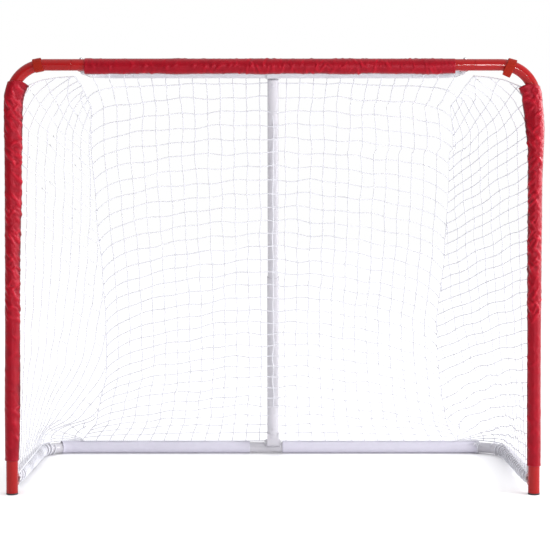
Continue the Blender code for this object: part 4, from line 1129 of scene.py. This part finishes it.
def lacing(side, way, pitch, strands, seed):
    """Cord wound along a side arm: path + across x cos(turn) + up x sin(turn), one turn for each pitch, with the
    turns' spacing and slack a little uneven."""
    end_x = 0.5
    corner = REAR + X_AXIS * way * POST_X
    path = corner_path(BASE_PIVOT + X_AXIS * way * POST_X - BASE_AHEAD * BASE_LEAD, corner, REAR + X_AXIS * way * end_x,
                       CORNER_R)
    low, high = 0.052, length_of(path) - (0.650 - end_x)
    s = np.linspace(low, high, int((high - low) / pitch * 18))
    place, forward = resample(path, s)
    out = unit(Z_AXIS - forward[:, 2:] * forward)
    share = roundness(s)
    slack = 0.0004 + 0.0005 * (1 + np.sin(s * 63.0 + seed))
    tall, thick = (half + (TUBE_R - half) * share + CORD_R + slack for half in BASE_FLAT)
    made = []
    for k in range(strands):
        uneven = 0.35 * np.sin(s * 41.0 + seed + k) + 0.25 * np.sin(s * 97.0 + 2 * seed)
        turn = s / (pitch * (1 + 0.12 * k)) * 2 * math.pi + uneven + k * 2.1
        line = place + (tall * np.sin(turn))[:, None] * out + (thick * np.cos(turn))[:, None] * np.cross(forward, out)
        made.append(strand(above_floor(line), CORD_R, 6))
    piece(f"foot_lacing_{side}", made, "base", "net_cord")


lacing("left", -1.0, 0.017, 2, 1.0)
lacing("right", 1.0, 0.026, 1, 4.0)


def knot(centre, out, along, size):
    """An overhand knot: a trefoil, across = sin t + 2 sin 2t, up = cos t - 2 cos 2t, out = -sin 3t, and two ends."""
    t = np.linspace(0, 2 * math.pi, 120, endpoint=False)[:, None]
    q = np.linspace(0, 1, 14)[:, None]
    up = np.cross(out, along)
    line = centre + size * ((np.sin(t) + 2 * np.sin(2 * t)) * along + (np.cos(t) - 2 * np.cos(2 * t)) * up * 0.8
                            - np.sin(3 * t) * out)
    ends = [centre + size * (along * k * (1.5 + 2.5 * q) + out * (0.6 + 0.6 * np.sin(q * 3.0)) - up * 2.6 * q ** 2)
            for k in (-1.0, 1.0)]
    return [strand(join([line, line[:1]]), 0.0013, 7)] + [strand(end, 0.0012, 7) for end in ends]


TIE_X = 0.5975
tie_at = np.array([TIE_X, REAR_Y - 0.0012, REAR_Z])
tie_turn = np.linspace(0, 2 * math.pi, 60)[:, None]
tie_ring = tie_at + 0.0205 * (np.cos(tie_turn) * Y_AXIS + np.sin(tie_turn) * Z_AXIS * 0.86)
tie_out = np.array([0.0, -0.78, 0.62])
tie = [strand(above_floor(tie_ring), CORD_R, 7)] + knot(tie_at + tie_out * 0.0215, tie_out, X_AXIS, 0.0028)
piece("sleeve_tie", tie, "base", "net_cord")


# Floor, lights and camera

FLOOR = 12.0
floor_mesh = bpy.data.meshes.new("floor")
floor_mesh.from_pydata([(-FLOOR, -FLOOR, 0), (FLOOR, -FLOOR, 0), (FLOOR, FLOOR, 0), (-FLOOR, FLOOR, 0)], [],
                       [(0, 1, 2, 3)])
floor_mesh.materials.append(studio_floor())
floor = placed("floor", floor_mesh)

SKY_LOW = 0.16
SKY_HIGH = 1.54


def studio_world():
    """Studio light from overhead: its brightness is low + rise x height of the direction, and what the camera sees of
    it behind the goal is plain white."""
    world = bpy.data.worlds.new("studio")
    world.use_nodes = True
    backdrop = world.node_tree.nodes["Background"]
    backdrop.inputs["Color"].default_value = (1.0, 1.0, 1.0, 1.0)
    up = add(world, "SeparateXYZ", {"Vector": add(world, "TexCoord", {}, "Generated")}, "Z")
    light = add(world, "MapRange", {"Value": up, "To Min": SKY_LOW, "To Max": SKY_HIGH})
    seen = add(world, "LightPath", {}, "Is Camera Ray")
    strength = add(world, "Mix", {0: seen, 2: light, 3: 1.0}, data_type="FLOAT")
    world.node_tree.links.new(strength, backdrop.inputs["Strength"])
    bpy.context.scene.world = world


def soft_light(name, place, target, width, height, power):
    """A large studio light that faces a point."""
    data = bpy.data.lights.new(name, "AREA")
    data.shape = "RECTANGLE"
    data.size = width
    data.size_y = height
    data.energy = power
    made = placed(name, data)
    made.location = place
    made.rotation_euler = (Vector(target) - Vector(place)).to_track_quat("-Z", "Y").to_euler()


studio_world()
soft_light("side_light", (6.1, -2.5, 1.9), (0.0, 0.0, 0.55), 1.9, 2.4, 335)
soft_light("rim_light", (3.4, 0.9, 1.3), (0.0, 0.0, 0.6), 1.2, 1.2, 56)
soft_light("front_light", (1.08, -4.3, 0.85), (0.0, 0.0, 0.7), 0.26, 0.4, 40)

# The photograph's size, its focal length and where its axis and horizon are, in pixels
IMAGE = 550
FOCUS = 1570.0
AXIS_X = 273.0
HORIZON = 163.4
SENSOR = 36.0
PITCH = math.radians(1.2)
EYE = (0.0, -4.31, 0.851)
camera_data = bpy.data.cameras.new("camera")
camera_data.sensor_width = SENSOR
camera_data.lens = FOCUS / IMAGE * SENSOR
camera_data.shift_x = (IMAGE / 2 - AXIS_X) / IMAGE
camera_data.shift_y = -(IMAGE / 2 - HORIZON - FOCUS * math.tan(PITCH)) / IMAGE
camera = placed("camera", camera_data)
camera.location = EYE
camera.rotation_euler = (math.pi / 2 - PITCH, 0.0, 0.0)
bpy.context.scene.camera = camera
bpy.context.scene.view_settings.view_transform = "Standard"
